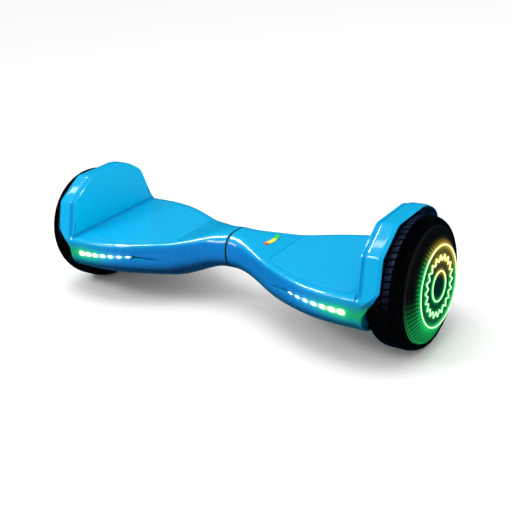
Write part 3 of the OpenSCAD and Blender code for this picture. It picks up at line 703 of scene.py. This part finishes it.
def gauge_colours():
    """The battery gauge: red at the front, then yellow, and green at the back."""
    f = Finish("gauge_colours")
    _, y, _ = f.place()
    low = f.blend(f.spans(y, -9, -4), (0.75, 0.01, 0.01, 1), (0.9, 0.7, 0.02, 1))
    full = f.blend(f.spans(y, 7, 12), low, (0.05, 0.55, 0.03, 1))
    dark_tip = f.spans(y, -13, -10)
    f.set(Base_Color=f.blend(dark_tip, (0.03, 0.01, 0.01, 1), full), Coat_Weight=1.0, Coat_Roughness=0.05)
    f.roughen(200.0, 4.0, 0.2, 0.35)
    f.set(Emission_Color=full, Emission_Strength=f.times(dark_tip, 0.25))
    return f.material


def metal(name, colour, roughness, grain=(1.0, 1.0, 14.0)):
    f = Finish(name)
    lines = f.noise(160.0, 5.0, 0.6, grain)
    light = tuple(min(1.0, c * 1.25) for c in colour) + (1,)
    f.set(Base_Color=f.blend(lines, colour + (1,), light), Metallic=1.0)
    f.set(Roughness=f.spans(lines, 0.3, 0.7, roughness - 0.08, roughness + 0.1))
    f.bump(lines, 0.00004, 0.4)
    return f.material


def speckled(name, colour, accent, scale=60.0, roughness=0.45):
    """A plain part with a second colour in patches, such as a board or a battery wrap."""
    f = Finish(name)
    patches = f.spans(f.noise(scale, 5.0, 0.6), 0.42, 0.62)
    f.set(Base_Color=f.blend(patches, colour + (1,), accent + (1,)))
    f.roughen(scale * 3, 4.0, roughness - 0.08, roughness + 0.1)
    f.bump(f.noise(scale * 9), 0.00006, 0.4)
    return f.material


# Colour, roughness and the stretch of the grain
METALS = {
    "cast_alloy": ((0.52, 0.53, 0.55), 0.42, (1.0, 1.0, 1.0)),
    "steel": ((0.6, 0.61, 0.63), 0.24),
    "dark_steel": ((0.09, 0.09, 0.1), 0.38),
    "bronze": ((0.55, 0.36, 0.16), 0.34),
    "copper": ((0.72, 0.32, 0.16), 0.3, (12.0, 1.0, 1.0)),
    "magnet_nickel": ((0.66, 0.65, 0.62), 0.2),
}
# Colour, the colour of the patches, their scale and the roughness
SPECKLED = {
    "board_green": ((0.01, 0.09, 0.03), (0.02, 0.16, 0.06)),
    "battery_wrap": ((0.01, 0.05, 0.3), (0.02, 0.08, 0.42), 25.0, 0.3),
    "wire_orange": ((0.55, 0.1, 0.01), (0.62, 0.14, 0.02), 90.0),
    "control_white": ((0.7, 0.71, 0.72), (0.78, 0.79, 0.8), 40.0, 0.3),
}

materials = {
    "shell_blue": paint_blue(),
    "cover_black": black_plastic("cover_black"),
    "trim_black": ribbed_black(),
    "seal_rubber": black_plastic("seal_rubber", 1400.0, 0.6, (0.006, 0.007, 0.010, 1)),
    "tyre_black": tyre_rubber(),
    "light_lens": bar_lens_light(),
    "light_green": light_guide(),
    "smoked_disc": smoked_disc(),
    "gauge_colours": gauge_colours(),
}
materials.update({slot: metal(slot, *look) for slot, look in METALS.items()})
materials.update({slot: speckled(slot, *look) for slot, look in SPECKLED.items()})
pad_finish = pad_blue()

for subpart in frame["record"]["subparts"]:
    node = frame["nodes"][subpart["node"]]
    node.data.materials.clear()
    node.data.materials.append(materials[subpart["material_slot"]])


# ---- Camera, light and floor ----

def photo_camera():
    """The photograph's view: from the front right and above, tipped a little."""
    azimuth, elevation, roll = (math.radians(a) for a in (37.53, 23.71, -5.99))
    distance, shift_right, shift_up = 1.2381, 0.02277, 0.06259
    focal_over_width, sensor_width = 1.68279, 36
    back = Vector((
        math.sin(azimuth) * math.cos(elevation),
        -math.cos(azimuth) * math.cos(elevation),
        math.sin(elevation),
    ))
    right = Vector((math.cos(azimuth), math.sin(azimuth), 0))
    up = back.cross(right)
    target = right * shift_right + up * shift_up
    turned_right = right * math.cos(roll) + up * math.sin(roll)
    turned_up = up * math.cos(roll) - right * math.sin(roll)
    data = bpy.data.cameras.new("camera")
    data.sensor_width = sensor_width
    data.lens = sensor_width * focal_over_width
    data.clip_start, data.clip_end = 0.05, 20
    camera = new_object("camera", data)
    axes = Matrix((turned_right, turned_up, back)).transposed()
    camera.matrix_world = Matrix.Translation(target + back * distance) @ axes.to_4x4()
    bpy.context.scene.camera = camera


SURROUND = 1.0
SURROUND_IN_GLOSS = 0.2
GLOSS_TINT = (0.06, 0.55, 1.0, 1)


def soft_light(name, place, target, size, power, turn=0, lights=True, shows=True):
    """A rectangular soft light; it may light things, show as a reflection in them, or both."""
    data = bpy.data.lights.new(name, "AREA")
    data.shape = "RECTANGLE"
    data.size, data.size_y = size
    data.energy = power
    light = new_object(name, data)
    light.visible_diffuse = lights
    light.visible_glossy = shows
    light.location = place
    aim = (Vector(place) - Vector(target)).to_track_quat("Z", "Y").to_matrix()
    light.rotation_euler = (aim @ Matrix.Rotation(math.radians(turn), 3, "Z")).to_euler()


def studio():
    """A pale floor, a pale surround and soft lights, with the gloss kept for the soft lights."""
    world = bpy.data.worlds.new("studio")
    world.use_nodes = True
    tree = world.node_tree
    pale, in_gloss = tree.nodes["Background"], tree.nodes.new("ShaderNodeBackground")
    for shader, tint, strength in (
        (pale, (1, 1, 1, 1), SURROUND), (in_gloss, GLOSS_TINT, SURROUND_IN_GLOSS),
    ):
        shader.inputs["Color"].default_value = tint
        shader.inputs["Strength"].default_value = strength
    kind = tree.nodes.new("ShaderNodeLightPath")
    choice = tree.nodes.new("ShaderNodeMixShader")
    tree.links.new(kind.outputs["Is Glossy Ray"], choice.inputs[0])
    tree.links.new(pale.outputs[0], choice.inputs[1])
    tree.links.new(in_gloss.outputs[0], choice.inputs[2])
    tree.links.new(choice.outputs[0], tree.nodes["World Output"].inputs["Surface"])
    bpy.context.scene.world = world
    bpy.context.scene.view_settings.view_transform = "Standard"

    half = 15.0
    data = bpy.data.meshes.new("floor")
    corners = [(-half, -half, 0), (half, -half, 0), (half, half, 0), (-half, half, 0)]
    data.from_pydata(corners, [], [(0, 1, 2, 3)])
    floor = new_object("floor", data)
    floor.visible_glossy = False
    f = Finish("floor_pale")
    f.set(Base_Color=f.blend(f.noise(3.0), (0.93, 0.93, 0.93, 1), (0.95, 0.95, 0.95, 1)))
    f.set(Roughness=0.8, Specular_IOR_Level=0.0)
    data.materials.append(f.material)

    middle = Vector((0, 0, 0.08))
    soft_light("top_light", (0.0, -0.1, 1.7), middle, (1.2, 0.8), 9, shows=False)
    glint = {"size": (0.02, 0.16), "power": 0.1, "lights": False}
    soft_light("right_corner_box", (-0.39, -0.08, 1.51), (0.26, -0.06, 0.16), **glint)
    soft_light("left_corner_box", (-1.34, -0.07, 1.19), (-0.25, -0.06, 0.16), **glint)
    soft_light("crease_box", middle + Vector((-0.56, -0.55, 0.62)) * 1.6, middle, (0.55, 0.3), 6)
    soft_light("crease_card", (-0.93, 0.13, 1.47), (-0.14, -0.08, 0.1), (0.3, 0.45), 16, lights=False)
    soft_light("neck_card", (-0.67, -1.1, 1.55), (-0.13, -0.07, 0.1), (0.28, 0.6), 8, 42, lights=False)


photo_camera()
studio()


# ---- Shells ----

COLUMNS = (34, 44, 24, 4, 16)
REAR_PAD = COLUMNS[0]
FRONT_PAD = REAR_PAD + COLUMNS[1]
SLOT_TOP = FRONT_PAD + COLUMNS[2]
SLOT_BOTTOM = SLOT_TOP + COLUMNS[3]
GROOVE_START = 88.0
GROOVE_DEPTH = 3.0
GROOVE_SHAPE = (0.0, 0.35, 0.7, 1.0, 0.0)
ROW_PITCH = 3.0
FINE = 160
BAR_GAP = 0.2
# Heights of the slot's top and bottom line: at the seam, where the groove starts and ends, and at
# the thin and the wide end of the bar
LINES_AT_SEAM, LINES_AT_GROOVE, GROOVE_END = (80.0, 79.0), (71.2, 70.7), (80.6, 75.0)
BAR_THIN, BAR_WIDE = (79.8, 77.4), (80.7, 71.3)


def slot_lines(s):
    """Heights of the light bar slot's top and bottom line, carried on towards the neck."""
    if s >= BAR_START:
        start, end, t = BAR_THIN, BAR_WIDE, min(1.0, (s - BAR_START) / (BAR_END - BAR_START))
    elif s >= GROOVE_START:
        start, end, t = LINES_AT_GROOVE, GROOVE_END, (s - GROOVE_START) / (BAR_START - GROOVE_START)
    else:
        start, end, t = LINES_AT_SEAM, LINES_AT_GROOVE, smooth(0, GROOVE_START, s)
    return mix(start[0], end[0], t), mix(start[1], end[1], t)


def pad_edge(s):
    return half_width(s) - PAD_INSET + PAD_GAP


def station(s):
    """The top shell's (y, z) points at s, from the back split over the top to the front split."""
    low = split_direction()
    top_line, bottom_line = slot_lines(s)
    marks = [
        -low, angle_at_y(s, pad_edge(s)), angle_at_y(s, -pad_edge(s)),
        angle_at_z(s, top_line), angle_at_z(s, bottom_line), math.pi + low,
    ]
    points = []
    for count, start, end in zip(COLUMNS, marks, marks[1:]):
        stretch = spread(on_section(s, np.linspace(start, end, FINE)), count)
        points.extend(stretch[:-1])
    points.append(on_section(s, np.array([marks[-1]]))[0])
    return np.array(points)


def groove(s, points):
    """Presses the crease in front of the light bar into the wall."""
    if GROOVE_START < s < BAR_START:
        depth = GROOVE_DEPTH * smooth(GROOVE_START, BAR_START, s)
        for k, share in enumerate(GROOVE_SHAPE):
            points[SLOT_TOP + k, 0] += depth * share
    return points


def stations(marks, end, pitch=ROW_PITCH):
    """Distances from the seam to end, with the marks among them."""
    count = round((end - SEAM_GAP) / pitch)
    plain = [s for s in np.linspace(SEAM_GAP, end, count) if min(abs(s - m) for m in marks) > pitch * 0.4]
    return sorted(set(plain) | set(marks))


FENDER_SIDE = [(94.0, 90.0), (88.0, 104.2)]
FENDER_CORNER = (75.1, 145.0)
FENDER_TOP_HALF = 33.0
REAR_POWER = 1.5
CORNER = 4.5


def rear_corner():
    """The fender's upper rear corner, a soft curve from the side to the flat top."""
    y, z = FENDER_CORNER
    angles = np.linspace(0, math.pi / 2, 12)
    across = np.cos(angles) ** (2 / REAR_POWER)
    rise = np.sin(angles) ** (2 / REAR_POWER)
    return [(mix(FENDER_TOP_HALF, y, c), mix(z, FENDER_TOP, r)) for c, r in zip(across, rise)]


FENDER_FRONT = FENDER_SIDE + [FENDER_CORNER, (FENDER_TOP_HALF, FENDER_TOP)]
FENDER_REAR = FENDER_SIDE + rear_corner()


def fender_columns(deck):
    """Outline points of the fender, one for each column of the deck's end, and their inward directions."""
    straight_z = 84.0
    rear = max(j for j in range(REAR_PAD) if deck[j, 1] <= straight_z)
    front = min(j for j in range(FRONT_PAD, len(deck)) if deck[j, 1] <= straight_z)
    corners = [deck[rear]] + FENDER_REAR + [(-y, z) for y, z in reversed(FENDER_FRONT)] + [deck[front]]
    line = rounded(corners, CORNER)
    side_height = 136.0
    up = np.argmax((line[:, 1] > side_height))
    down = len(line) - 1 - np.argmax(line[::-1, 1] > side_height)
    outline = deck.copy()
    outline[rear:REAR_PAD + 1] = spread(line[:up + 1], REAR_PAD - rear)
    outline[REAR_PAD:FRONT_PAD + 1] = spread(line[up:down + 1], FRONT_PAD - REAR_PAD)
    outline[FRONT_PAD:front + 1] = spread(line[down:], front - FRONT_PAD)
    along = np.gradient(outline, axis=0)
    inward = np.stack([-along[:, 1], along[:, 0]], 1)
    inward /= np.linalg.norm(inward, axis=1)[:, None]
    toward_axle = np.array([0.0, AXLE_Z]) - outline
    flip = np.sum(inward * toward_axle, axis=1) < 0
    inward[flip] *= -1
    return outline, inward


LIP_TURN_Z = 106.0
BAND_FOOT_X = 241.5
BAND_TAPER = 24.0
LIP_FOOT = (243.0, 72.0)
STRIP_X = 245.0
STRIP_INSET = 3.8
LIP_BAND = 261.3
LIP_INSET = 1.1
FACET_INSET = 5.0


def lip_x(z):
    """How far out the fender's lip is at height z."""
    foot_x, foot_z = LIP_FOOT
    return foot_x + (LIP_X - foot_x) * min(1.0, max(0.0, (z - foot_z) / (LIP_TURN_Z - foot_z)))


def fender_path(start, deck, rim, inward):
    """Points from the deck up the fender's wall, over its band and round its lip, for one column."""
    z = rim[1]
    lip = lip_x(z)
    wall = smooth(0, 8, float(np.linalg.norm(rim - deck)))
    lowered = smooth(LIP_TURN_Z + 2, 88, z) * smooth(64, 76, z)
    band_end = min(mix(LIP_BAND, BAND_FOOT_X, smooth(0, BAND_TAPER, LIP_TURN_Z - z)), lip - 1.0)
    strip_end = min(STRIP_X, mix(BODY_LEN + 1, band_end, 0.6))
    inset = mix(LIP_INSET, FACET_INSET, lowered)
    corners = [
        (BODY_LEN - ROW_PITCH, *start),
        (BODY_LEN, *deck),
        (BODY_LEN + 0.5 + 0.5 * wall, *(rim + inward * STRIP_INSET * wall)),
        (strip_end, *rim),
        (band_end, *rim),
        (lip, *(rim + inward * inset)),
        (lip - 0.2, *(rim + inward * (inset + 1.0))),
    ]
    reaches = [1.6, 2.4, 1.4, 0.8, 0.5]
    spans = [2, 12, 4, 8, 4, 1]
    return rounded_path([np.array(c, float) for c in corners], reaches, spans)


def shell_skin():
    """Points and faces of the top shell's outer skin, with the pad and light bar openings."""
    pad_start, pad_end = PAD_START - PAD_GAP, PAD_END + PAD_GAP
    bar_start, bar_end = BAR_START - BAR_GAP, BAR_END + BAR_GAP
    last = BODY_LEN - ROW_PITCH
    places = stations([SEAM_GAP, pad_start, GROOVE_START, bar_start, bar_end, pad_end, last], last)
    rows = [at_x(s, groove(s, station(s))) for s in places]
    start = rows[-1][:, 1:]
    deck = station(BODY_LEN)
    rim, inward = fender_columns(deck)
    paths = [fender_path(start[j], deck[j], rim[j], inward[j]) for j in range(len(deck))]
    rows.extend(np.array([path[i] for path in paths]) for i in range(len(paths[0])))

    def opening(i, j):
        if i >= len(places) - 1:
            return False
        middle = (places[i] + places[i + 1]) / 2
        pad = pad_start < middle < pad_end and REAR_PAD <= j < FRONT_PAD
        bar = bar_start < middle < bar_end and SLOT_TOP <= j < SLOT_BOTTOM
        return pad or bar

    points = np.array(rows)
    return points, grid_faces(len(rows), points.shape[1], skip=opening)


SKIN_T = 2.3
WALL_HOLE_R = 14.0
CHARGE_HOLE_R, CHARGE_X, CHARGE_Z = 8.4, 196.0, 78.0


def radial_plate(outline, x0, x1):
    """A flat plate between a closed (y, z) outline round the axle and a round hole, from x0 to x1."""
    line = spread(np.vstack([outline, outline[:1]]), 160, turn_weight=0)[:-1]
    loops = []
    for x, share in ((x0, 0), (x0, 1), (x1, 1), (x1, 0)):
        loop = []
        for y, z in line:
            hole_y, hole_z = round_axle(WALL_HOLE_R, math.atan2(z - AXLE_Z, y))
            loop.append((x, mix(hole_y, y, share), mix(hole_z, z, share)))
        loops.append(loop)
    return loops, grid_faces(4, len(line), wrap=True)


def charge_hole():
    """A cylinder through the back wall, where the charge socket opens."""
    angles = even_angles(48)
    across, up = CHARGE_X + CHARGE_HOLE_R * np.cos(angles), CHARGE_Z + CHARGE_HOLE_R * np.sin(angles)
    return closed("cutter", [plug(*([(x, y, z) for x, z in zip(across, up)] for y in (80, 100)))])


def top_shell(side, name, skin):
    """The top shell and the fender of one half, drawn as one skin with the wall beside the wheel."""
    piece = build(f"{name}_shell", [skin], side)
    thicken(piece, SKIN_T)
    round_edges(piece, 0.45)
    rim, inward = fender_columns(station(BODY_LEN))
    join(piece, closed("plate", [radial_plate(rim + inward * 2.0, BODY_LEN + 0.4, WELL_X)], side))
    if side == RIGHT:
        cut(piece, charge_hole())
    shade(piece)
    settle(piece, f"{name}_half", "shell_blue", [f"{name}_top_shell", f"{name}_fender"])


# ---- Bottom covers ----

COVER_T = 2.6
COVER_COLUMNS = 44
SCREW_PLACES = [(74, 14), (136, 34.8), (206, 34.8)]
SCREW_HOLE_R = 4.4


def cover_rows():
    """Rows of the bottom cover's outer skin, from the front split under to the back."""
    low = math.pi + split_direction() + SPLIT_GAP
    high = 2 * math.pi - split_direction() - SPLIT_GAP
    rows = []
    for s in stations([SEAM_GAP, BODY_LEN], BODY_LEN, 5.0):
        rows.append(at_x(s, spread(on_section(s, np.linspace(low, high, FINE)), COVER_COLUMNS)))
    return np.array(rows)


def screw_hole(x, y):
    """Points and faces of a vertical cylinder through the cover."""
    angles = even_angles(32)
    across, deep = x + SCREW_HOLE_R * np.cos(angles), y + SCREW_HOLE_R * np.sin(angles)
    return plug(*(np.column_stack([across, deep, np.full(32, z)]) for z in (0.0, 60.0)))


def bottom_cover(side, name, rows):
    piece = build(f"{name}_under_cover", [(rows, grid_faces(*rows.shape[:2]))], side)
    thicken(piece, COVER_T)
    holes = [screw_hole(x, m * y) for x, y in SCREW_PLACES for m in (-1, 1)]
    cut(piece, closed("cutter", holes, side))
    # The wall that closes the cover beside the wheel
    outline = rows[-1][:, 1:]
    join(piece, closed("wall", [plug(at_x(BODY_LEN, outline), at_x(WELL_X, outline))], side))
    round_edges(piece, 0.4)
    shade(piece)
    settle(piece, f"{name}_half", "cover_black", [f"{name}_bottom_cover"])


# ---- Foot pads, light bars, gauge and seam ring ----

def foot_pad(side, name):
    """A flat pad with softened edges, level just above the deck."""
    rows = []
    for s in np.linspace(PAD_START, PAD_END, 50):
        reach = half_width(s) - PAD_INSET
        rows.append([(s, -reach * t, PAD_TOP) for t in np.linspace(-1, 1, 41)])
    piece = sheet(f"{name}_pad", rows, PAD_T, 0.4, side=side)
    settle(piece, f"{name}_pad", "shell_blue", [f"{name}_foot_pad"], pad_finish)


LENS_PROUD, LENS_T = 0.3, 3.0
LENS_THIN_Z = (77.6, 79.6)
LENS_WIDE_Z = (71.5, 80.5)


def bar_lens(side, name):
    """The clear strip in front of the lamps, following the front wall."""
    rows = []
    for s in np.linspace(BAR_START, BAR_END, 47):
        t = (s - BAR_START) / (BAR_END - BAR_START)
        low, high = (mix(thin, wide, t) for thin, wide in zip(LENS_THIN_Z, LENS_WIDE_Z))
        wall = on_section(s, np.array([angle_at_z(s, z) for z in np.linspace(high, low, 9)]))
        rows.append([(s, y - LENS_PROUD, z) for y, z in wall])
    piece = sheet(f"{name}_lens", rows, LENS_T, 0.45, 3, side)
    settle(piece, f"{name}_half", "light_lens", [f"{name}_bar_lens"])


GAUGE_CENTRE = (16.0, 6.0)
GAUGE_RADII = (38.0, 44.0)
GAUGE_SPREAD = math.radians(23.4)
GAUGE_PROUD, GAUGE_T = 0.35, 1.4


def top_height(s, y):
    """Height of the upper skin at a point."""
    width, middle, above, _, power = section_sizes(s)
    return middle + above * (1 - min(1.0, abs(y) / width) ** power) ** (1 / power)


def battery_gauge():
    """The curved window of the battery gauge, laid on the neck of the right half."""
    rows = []
    for angle in np.linspace(-GAUGE_SPREAD, GAUGE_SPREAD, 25):
        row = []
        for radius in np.linspace(GAUGE_RADII[1], GAUGE_RADII[0], 7):
            x = GAUGE_CENTRE[0] + radius * math.cos(angle)
            y = GAUGE_CENTRE[1] + radius * math.sin(angle)
            row.append((x, y, top_height(x, y) + GAUGE_PROUD))
        rows.append(row)
    piece = sheet("gauge", rows, GAUGE_T, 0.4, 3)
    settle(piece, "right_half", "gauge_colours", ["gauge_window"])


SEAM_INSET = 0.8
SEAM_HOLE_R = 14.0
SEAM_EDGE = 0.7


def seam_piece():
    """The rubber ring between the two halves."""
    angles = even_angles(96)
    outline = on_section(0.0, angles)
    inward = np.array([0.0, NECK_MID]) - outline
    inward /= np.linalg.norm(inward, axis=1)[:, None]
    hole = np.stack(round_axle(SEAM_HOLE_R, angles), 1)
    bevelled = outline + inward * (SEAM_INSET + SEAM_EDGE)
    full = outline + inward * SEAM_INSET
    start, end = seam_low.x, seam_high.x
    rings = [
        (start, bevelled), (start + SEAM_EDGE, full), (end - SEAM_EDGE, full), (end, bevelled),
        (end, hole), (start, hole),
    ]
    rows = np.array([at_x(x, ring) for x, ring in rings])
    faces = grid_faces(*rows.shape[:2], wrap=True)
    piece = closed("seam", [(rows, faces)])
    shade(piece)
    settle(piece, "left_half", "seal_rubber", ["seam_ring"])


# ---- Wheels ----

def turned(profile, steps):
    """Points and faces of a closed outline, turned about the axle; profile(step) lists its (x, radius)."""
    points = []
    for step, angle in enumerate(even_angles(steps)):
        points.extend((x, *round_axle(radius, angle)) for x, radius in profile(step))
    return points, grid_faces(steps, len(profile(0)), wrap=True)


BLOCKS = 60
STEPS_PER_BLOCK = 12
TREAD_STEPS = BLOCKS * STEPS_PER_BLOCK
GROOVE_DEEP = 1.8
SIPE_DEEP = 1.5
GROOVE_EDGE = 0.35
# The tyre's inner surface, and the ridge on it that sits in the rim's channel
SEAT_R, RIDGE_R = 65.0, 62.0
SEAT_START_X, RIDGE_START_X, RIDGE_END_X = 245.0, 249.0, 281.0
# Rows of the tread: where each starts and ends across the tyre, and its sipes in one block's length
TREAD_ROWS = [(8.5, 12.9, 2), (14.6, 23.3, 1), (25.1, 33.7, 1), (35.5, 43.0, 4)]


def tyre_profile():
    """The tyre's (x, radius) outline, with the rule for the cuts beside each point of the tread."""
    edge = TYRE_R - 1.3
    crown = rounded([
        (TYRE_IN, TYRE_R - 14), (TYRE_IN, TYRE_R - 8), (TYRE_IN + 2.5, TYRE_R - 4),
        (TYRE_IN + 7, edge), (TYRE_IN + 13, TYRE_R), (TYRE_OUT - 13, TYRE_R),
        (TYRE_OUT - 7, edge), (TYRE_OUT - 2.6, TYRE_R - 3.6), (TYRE_OUT - 0.2, TYRE_R - 6.7),
        (TYRE_OUT - 1, TYRE_R - 9), (TYRE_OUT - 4, TYRE_R - 10),
    ], 2.5)
    tread_start = TYRE_IN + TREAD_ROWS[0][0]
    tread_end = TYRE_IN + TREAD_ROWS[-1][1]
    first = int(np.argmax(crown[:, 0] > tread_start))
    last = int(np.argmax(crown[:, 0] > tread_end))
    inner_side = [(x, r, None) for x, r in spread(crown[:first], 12)]
    outer_side = [(x, r, None) for x, r in spread(crown[last:], 16)]
    tread = []
    for k, (start, end, sipes) in enumerate(TREAD_ROWS):
        if k:
            before = TREAD_ROWS[k - 1][1]
            for offset in (before + GROOVE_EDGE, start - GROOVE_EDGE):
                tread.append((TYRE_IN + offset, GROOVE_DEEP, None))
        for offset in np.linspace(start, end, 5):
            late = offset > (start + end) / 2
            tread.append((TYRE_IN + offset, 0.0, (sipes, k % 2, late)))
    middle = [(x, float(np.interp(x, crown[first:last, 0], crown[first:last, 1])) - d, sipe)
              for x, d, sipe in tread]
    seat = [
        (TYRE_OUT - 4, SEAT_R), (RIDGE_END_X, SEAT_R), (RIDGE_END_X, RIDGE_R),
        (RIDGE_START_X, RIDGE_R), (RIDGE_START_X, SEAT_R), (SEAT_START_X, SEAT_R),
    ]
    return inner_side + middle + outer_side + [(x, r, None) for x, r in seat]


def sipe_depth(step, rule):
    """Depth of the fine cuts across a tread row at one step round the tyre."""
    if rule is None:
        return 0.0
    sipes, shifted, late = rule
    every = STEPS_PER_BLOCK // sipes
    phase = step + (STEPS_PER_BLOCK // 2 if shifted else 0) + (2 if late and sipes == 1 else 0)
    width = 1 if sipes > 1 else 2
    return SIPE_DEEP if phase % every < width else 0.0


def tyre(side, name, profile):
    def with_sipes(step):
        return [(x, r - sipe_depth(step, rule)) for x, r, rule in profile]

    piece = closed(f"{name}_tyre_tread", [turned(with_sipes, TREAD_STEPS)], side)
    shade(piece, 30)
    settle(piece, f"{name}_wheel", "tyre_black", [f"{name}_tyre"])


RIB_DEEP = 0.9
COVER_BACK = TYRE_OUT - 3.6
COVER_FRONT = COVER_BACK + 2.4
COVER_START_X = 285.0
COVER_HOLE_R, COVER_SEAT_R = 48.0, 64.8
RING_EDGE_R, RING_X = RING_OUTER + 1.3, FACE_X - 2.0
# The fine raised rings round the rim: distance in from the edge, and height
RIM_RINGS = [(0.4, 0.5), (0.9, 0.5), (1.2, -0.3), (1.7, -0.3), (2.0, 0.4), (2.5, 0.4), (2.8, -0.2)]
CONE_SHARES = (0.16, 0.22, 0.36, 0.5, 0.7, 0.84, 0.92, 1.0)


def cover_profile():
    """The wheel cover's (x, radius) outline, and whether each point lies on the ribs."""
    outline = [
        (COVER_START_X, COVER_HOLE_R), (COVER_START_X, COVER_SEAT_R), (COVER_BACK, COVER_SEAT_R),
        (COVER_BACK, COVER_EDGE_R), (COVER_BACK + 2.2, COVER_EDGE_R),
    ]
    for inset, proud in RIM_RINGS:
        outline.append((COVER_FRONT + 0.1 * inset + proud, COVER_EDGE_R - inset))
    cone = [(mix(COVER_FRONT, RING_X, t), mix(COVER_EDGE_R, RING_EDGE_R, t)) for t in CONE_SHARES]
    back_x = RING_X - 3.2
    inner = [(RING_X - 0.3, RING_EDGE_R - 0.8), (back_x, RING_EDGE_R - 1.0), (back_x, COVER_HOLE_R)]
    on_ribs = [0.2 < t < 0.9 for t in CONE_SHARES]
    flags = [False] * len(outline) + on_ribs + [False] * len(inner)
    return [(x, r, ribbed) for (x, r), ribbed in zip(outline + cone + inner, flags)]


def wheel_cover(side, name):
    """The ribbed cone between the tyre and the light ring."""
    profile = cover_profile()

    def with_ribs(step):
        hollow = RIB_DEEP if step % RIB_STEPS in (0, 1) else 0.0
        return [(x - hollow if ribbed else x, r) for x, r, ribbed in profile]

    piece = closed(f"{name}_ribbed_cover", [turned(with_ribs, RIBS * RIB_STEPS)], side)
    shade(piece, 35)
    settle(piece, f"{name}_wheel", "trim_black", [f"{name}_wheel_cover"])


GUIDE_HALF_W = 1.1
GUIDE_BASE_X = FACE_X - 1.4
TEETH = 20
ZIGZAG_LOW, ZIGZAG_HIGH = 31.6, 39.4
ZIGZAG_SOFT = 0.14
OUTER_GUIDE_R = 51.0


def bead(path):
    """Points and faces of a half round bead along a closed (y, z) path on the wheel's face."""
    along = np.roll(path, -1, axis=0) - np.roll(path, 1, axis=0)
    side = np.stack([along[:, 1], -along[:, 0]], 1)
    side /= np.linalg.norm(side, axis=1)[:, None]
    rows = []
    for point, out in zip(path, side):
        row = []
        for angle in np.linspace(0, math.pi, 9):
            y, z = point + out * GUIDE_HALF_W * math.cos(angle)
            row.append((GUIDE_BASE_X + (FACE_X - GUIDE_BASE_X) * math.sin(angle), y, z))
        rows.append(row)
    return rows, grid_faces(len(rows), len(row), wrap=True)


def circle_path(radius, steps=144):
    return np.stack(round_axle(radius, even_angles(steps)), 1)


def zigzag_path():
    """A regular zigzag round the axle with softened corners."""
    corners = []
    for k in range(2 * TEETH):
        radius = ZIGZAG_HIGH if k % 2 else ZIGZAG_LOW
        corners.append(round_axle(radius, k * math.pi / TEETH))
    corners = np.array(corners)
    path = []
    for before, here, after in zip(np.roll(corners, 1, axis=0), corners, np.roll(corners, -1, axis=0)):
        path.extend(bend(mix(here, before, ZIGZAG_SOFT), here, mix(here, after, ZIGZAG_SOFT), 5))
    return np.array(path)


def light_guides(side, name):
    """The glowing outer ring, zigzag and inner ring of one wheel."""
    paths = [circle_path(OUTER_GUIDE_R), zigzag_path(), circle_path(INNER_GUIDE_R, 96)]
    piece = closed(f"{name}_glow_lines", [bead(path) for path in paths], side)
    shade(piece, 60)
    settle(piece, f"{name}_wheel", "light_green", [f"{name}_light_guides"])


# ---- Small softened edges on the exact parts ----

SOFT_EDGES = ["power_button", "button_housing", "charge_socket", "charge_cap"]
for part in ("half_screws", "motor_cover", "rim", "motor_bolts"):
    SOFT_EDGES += [f"{name}_{part}" for name in SIDES.values()]


def soften(node):
    """Bevels a CAD part's sharp edges in the render; its own mesh stays as it is."""
    bevel = frame["nodes"][node].modifiers.new("edges", "BEVEL")
    bevel.width = 0.3 * MM
    bevel.segments = 2
    bevel.limit_method = "ANGLE"
    bevel.angle_limit = math.radians(40)
    bevel.harden_normals = True


skin = shell_skin()
under = cover_rows()
profile = tyre_profile()
for side, name in SIDES.items():
    top_shell(side, name, skin)
    bottom_cover(side, name, under)
    foot_pad(side, name)
    bar_lens(side, name)
    tyre(side, name, profile)
    wheel_cover(side, name)
    light_guides(side, name)
battery_gauge()
seam_piece()
for node in SOFT_EDGES:
    soften(node)
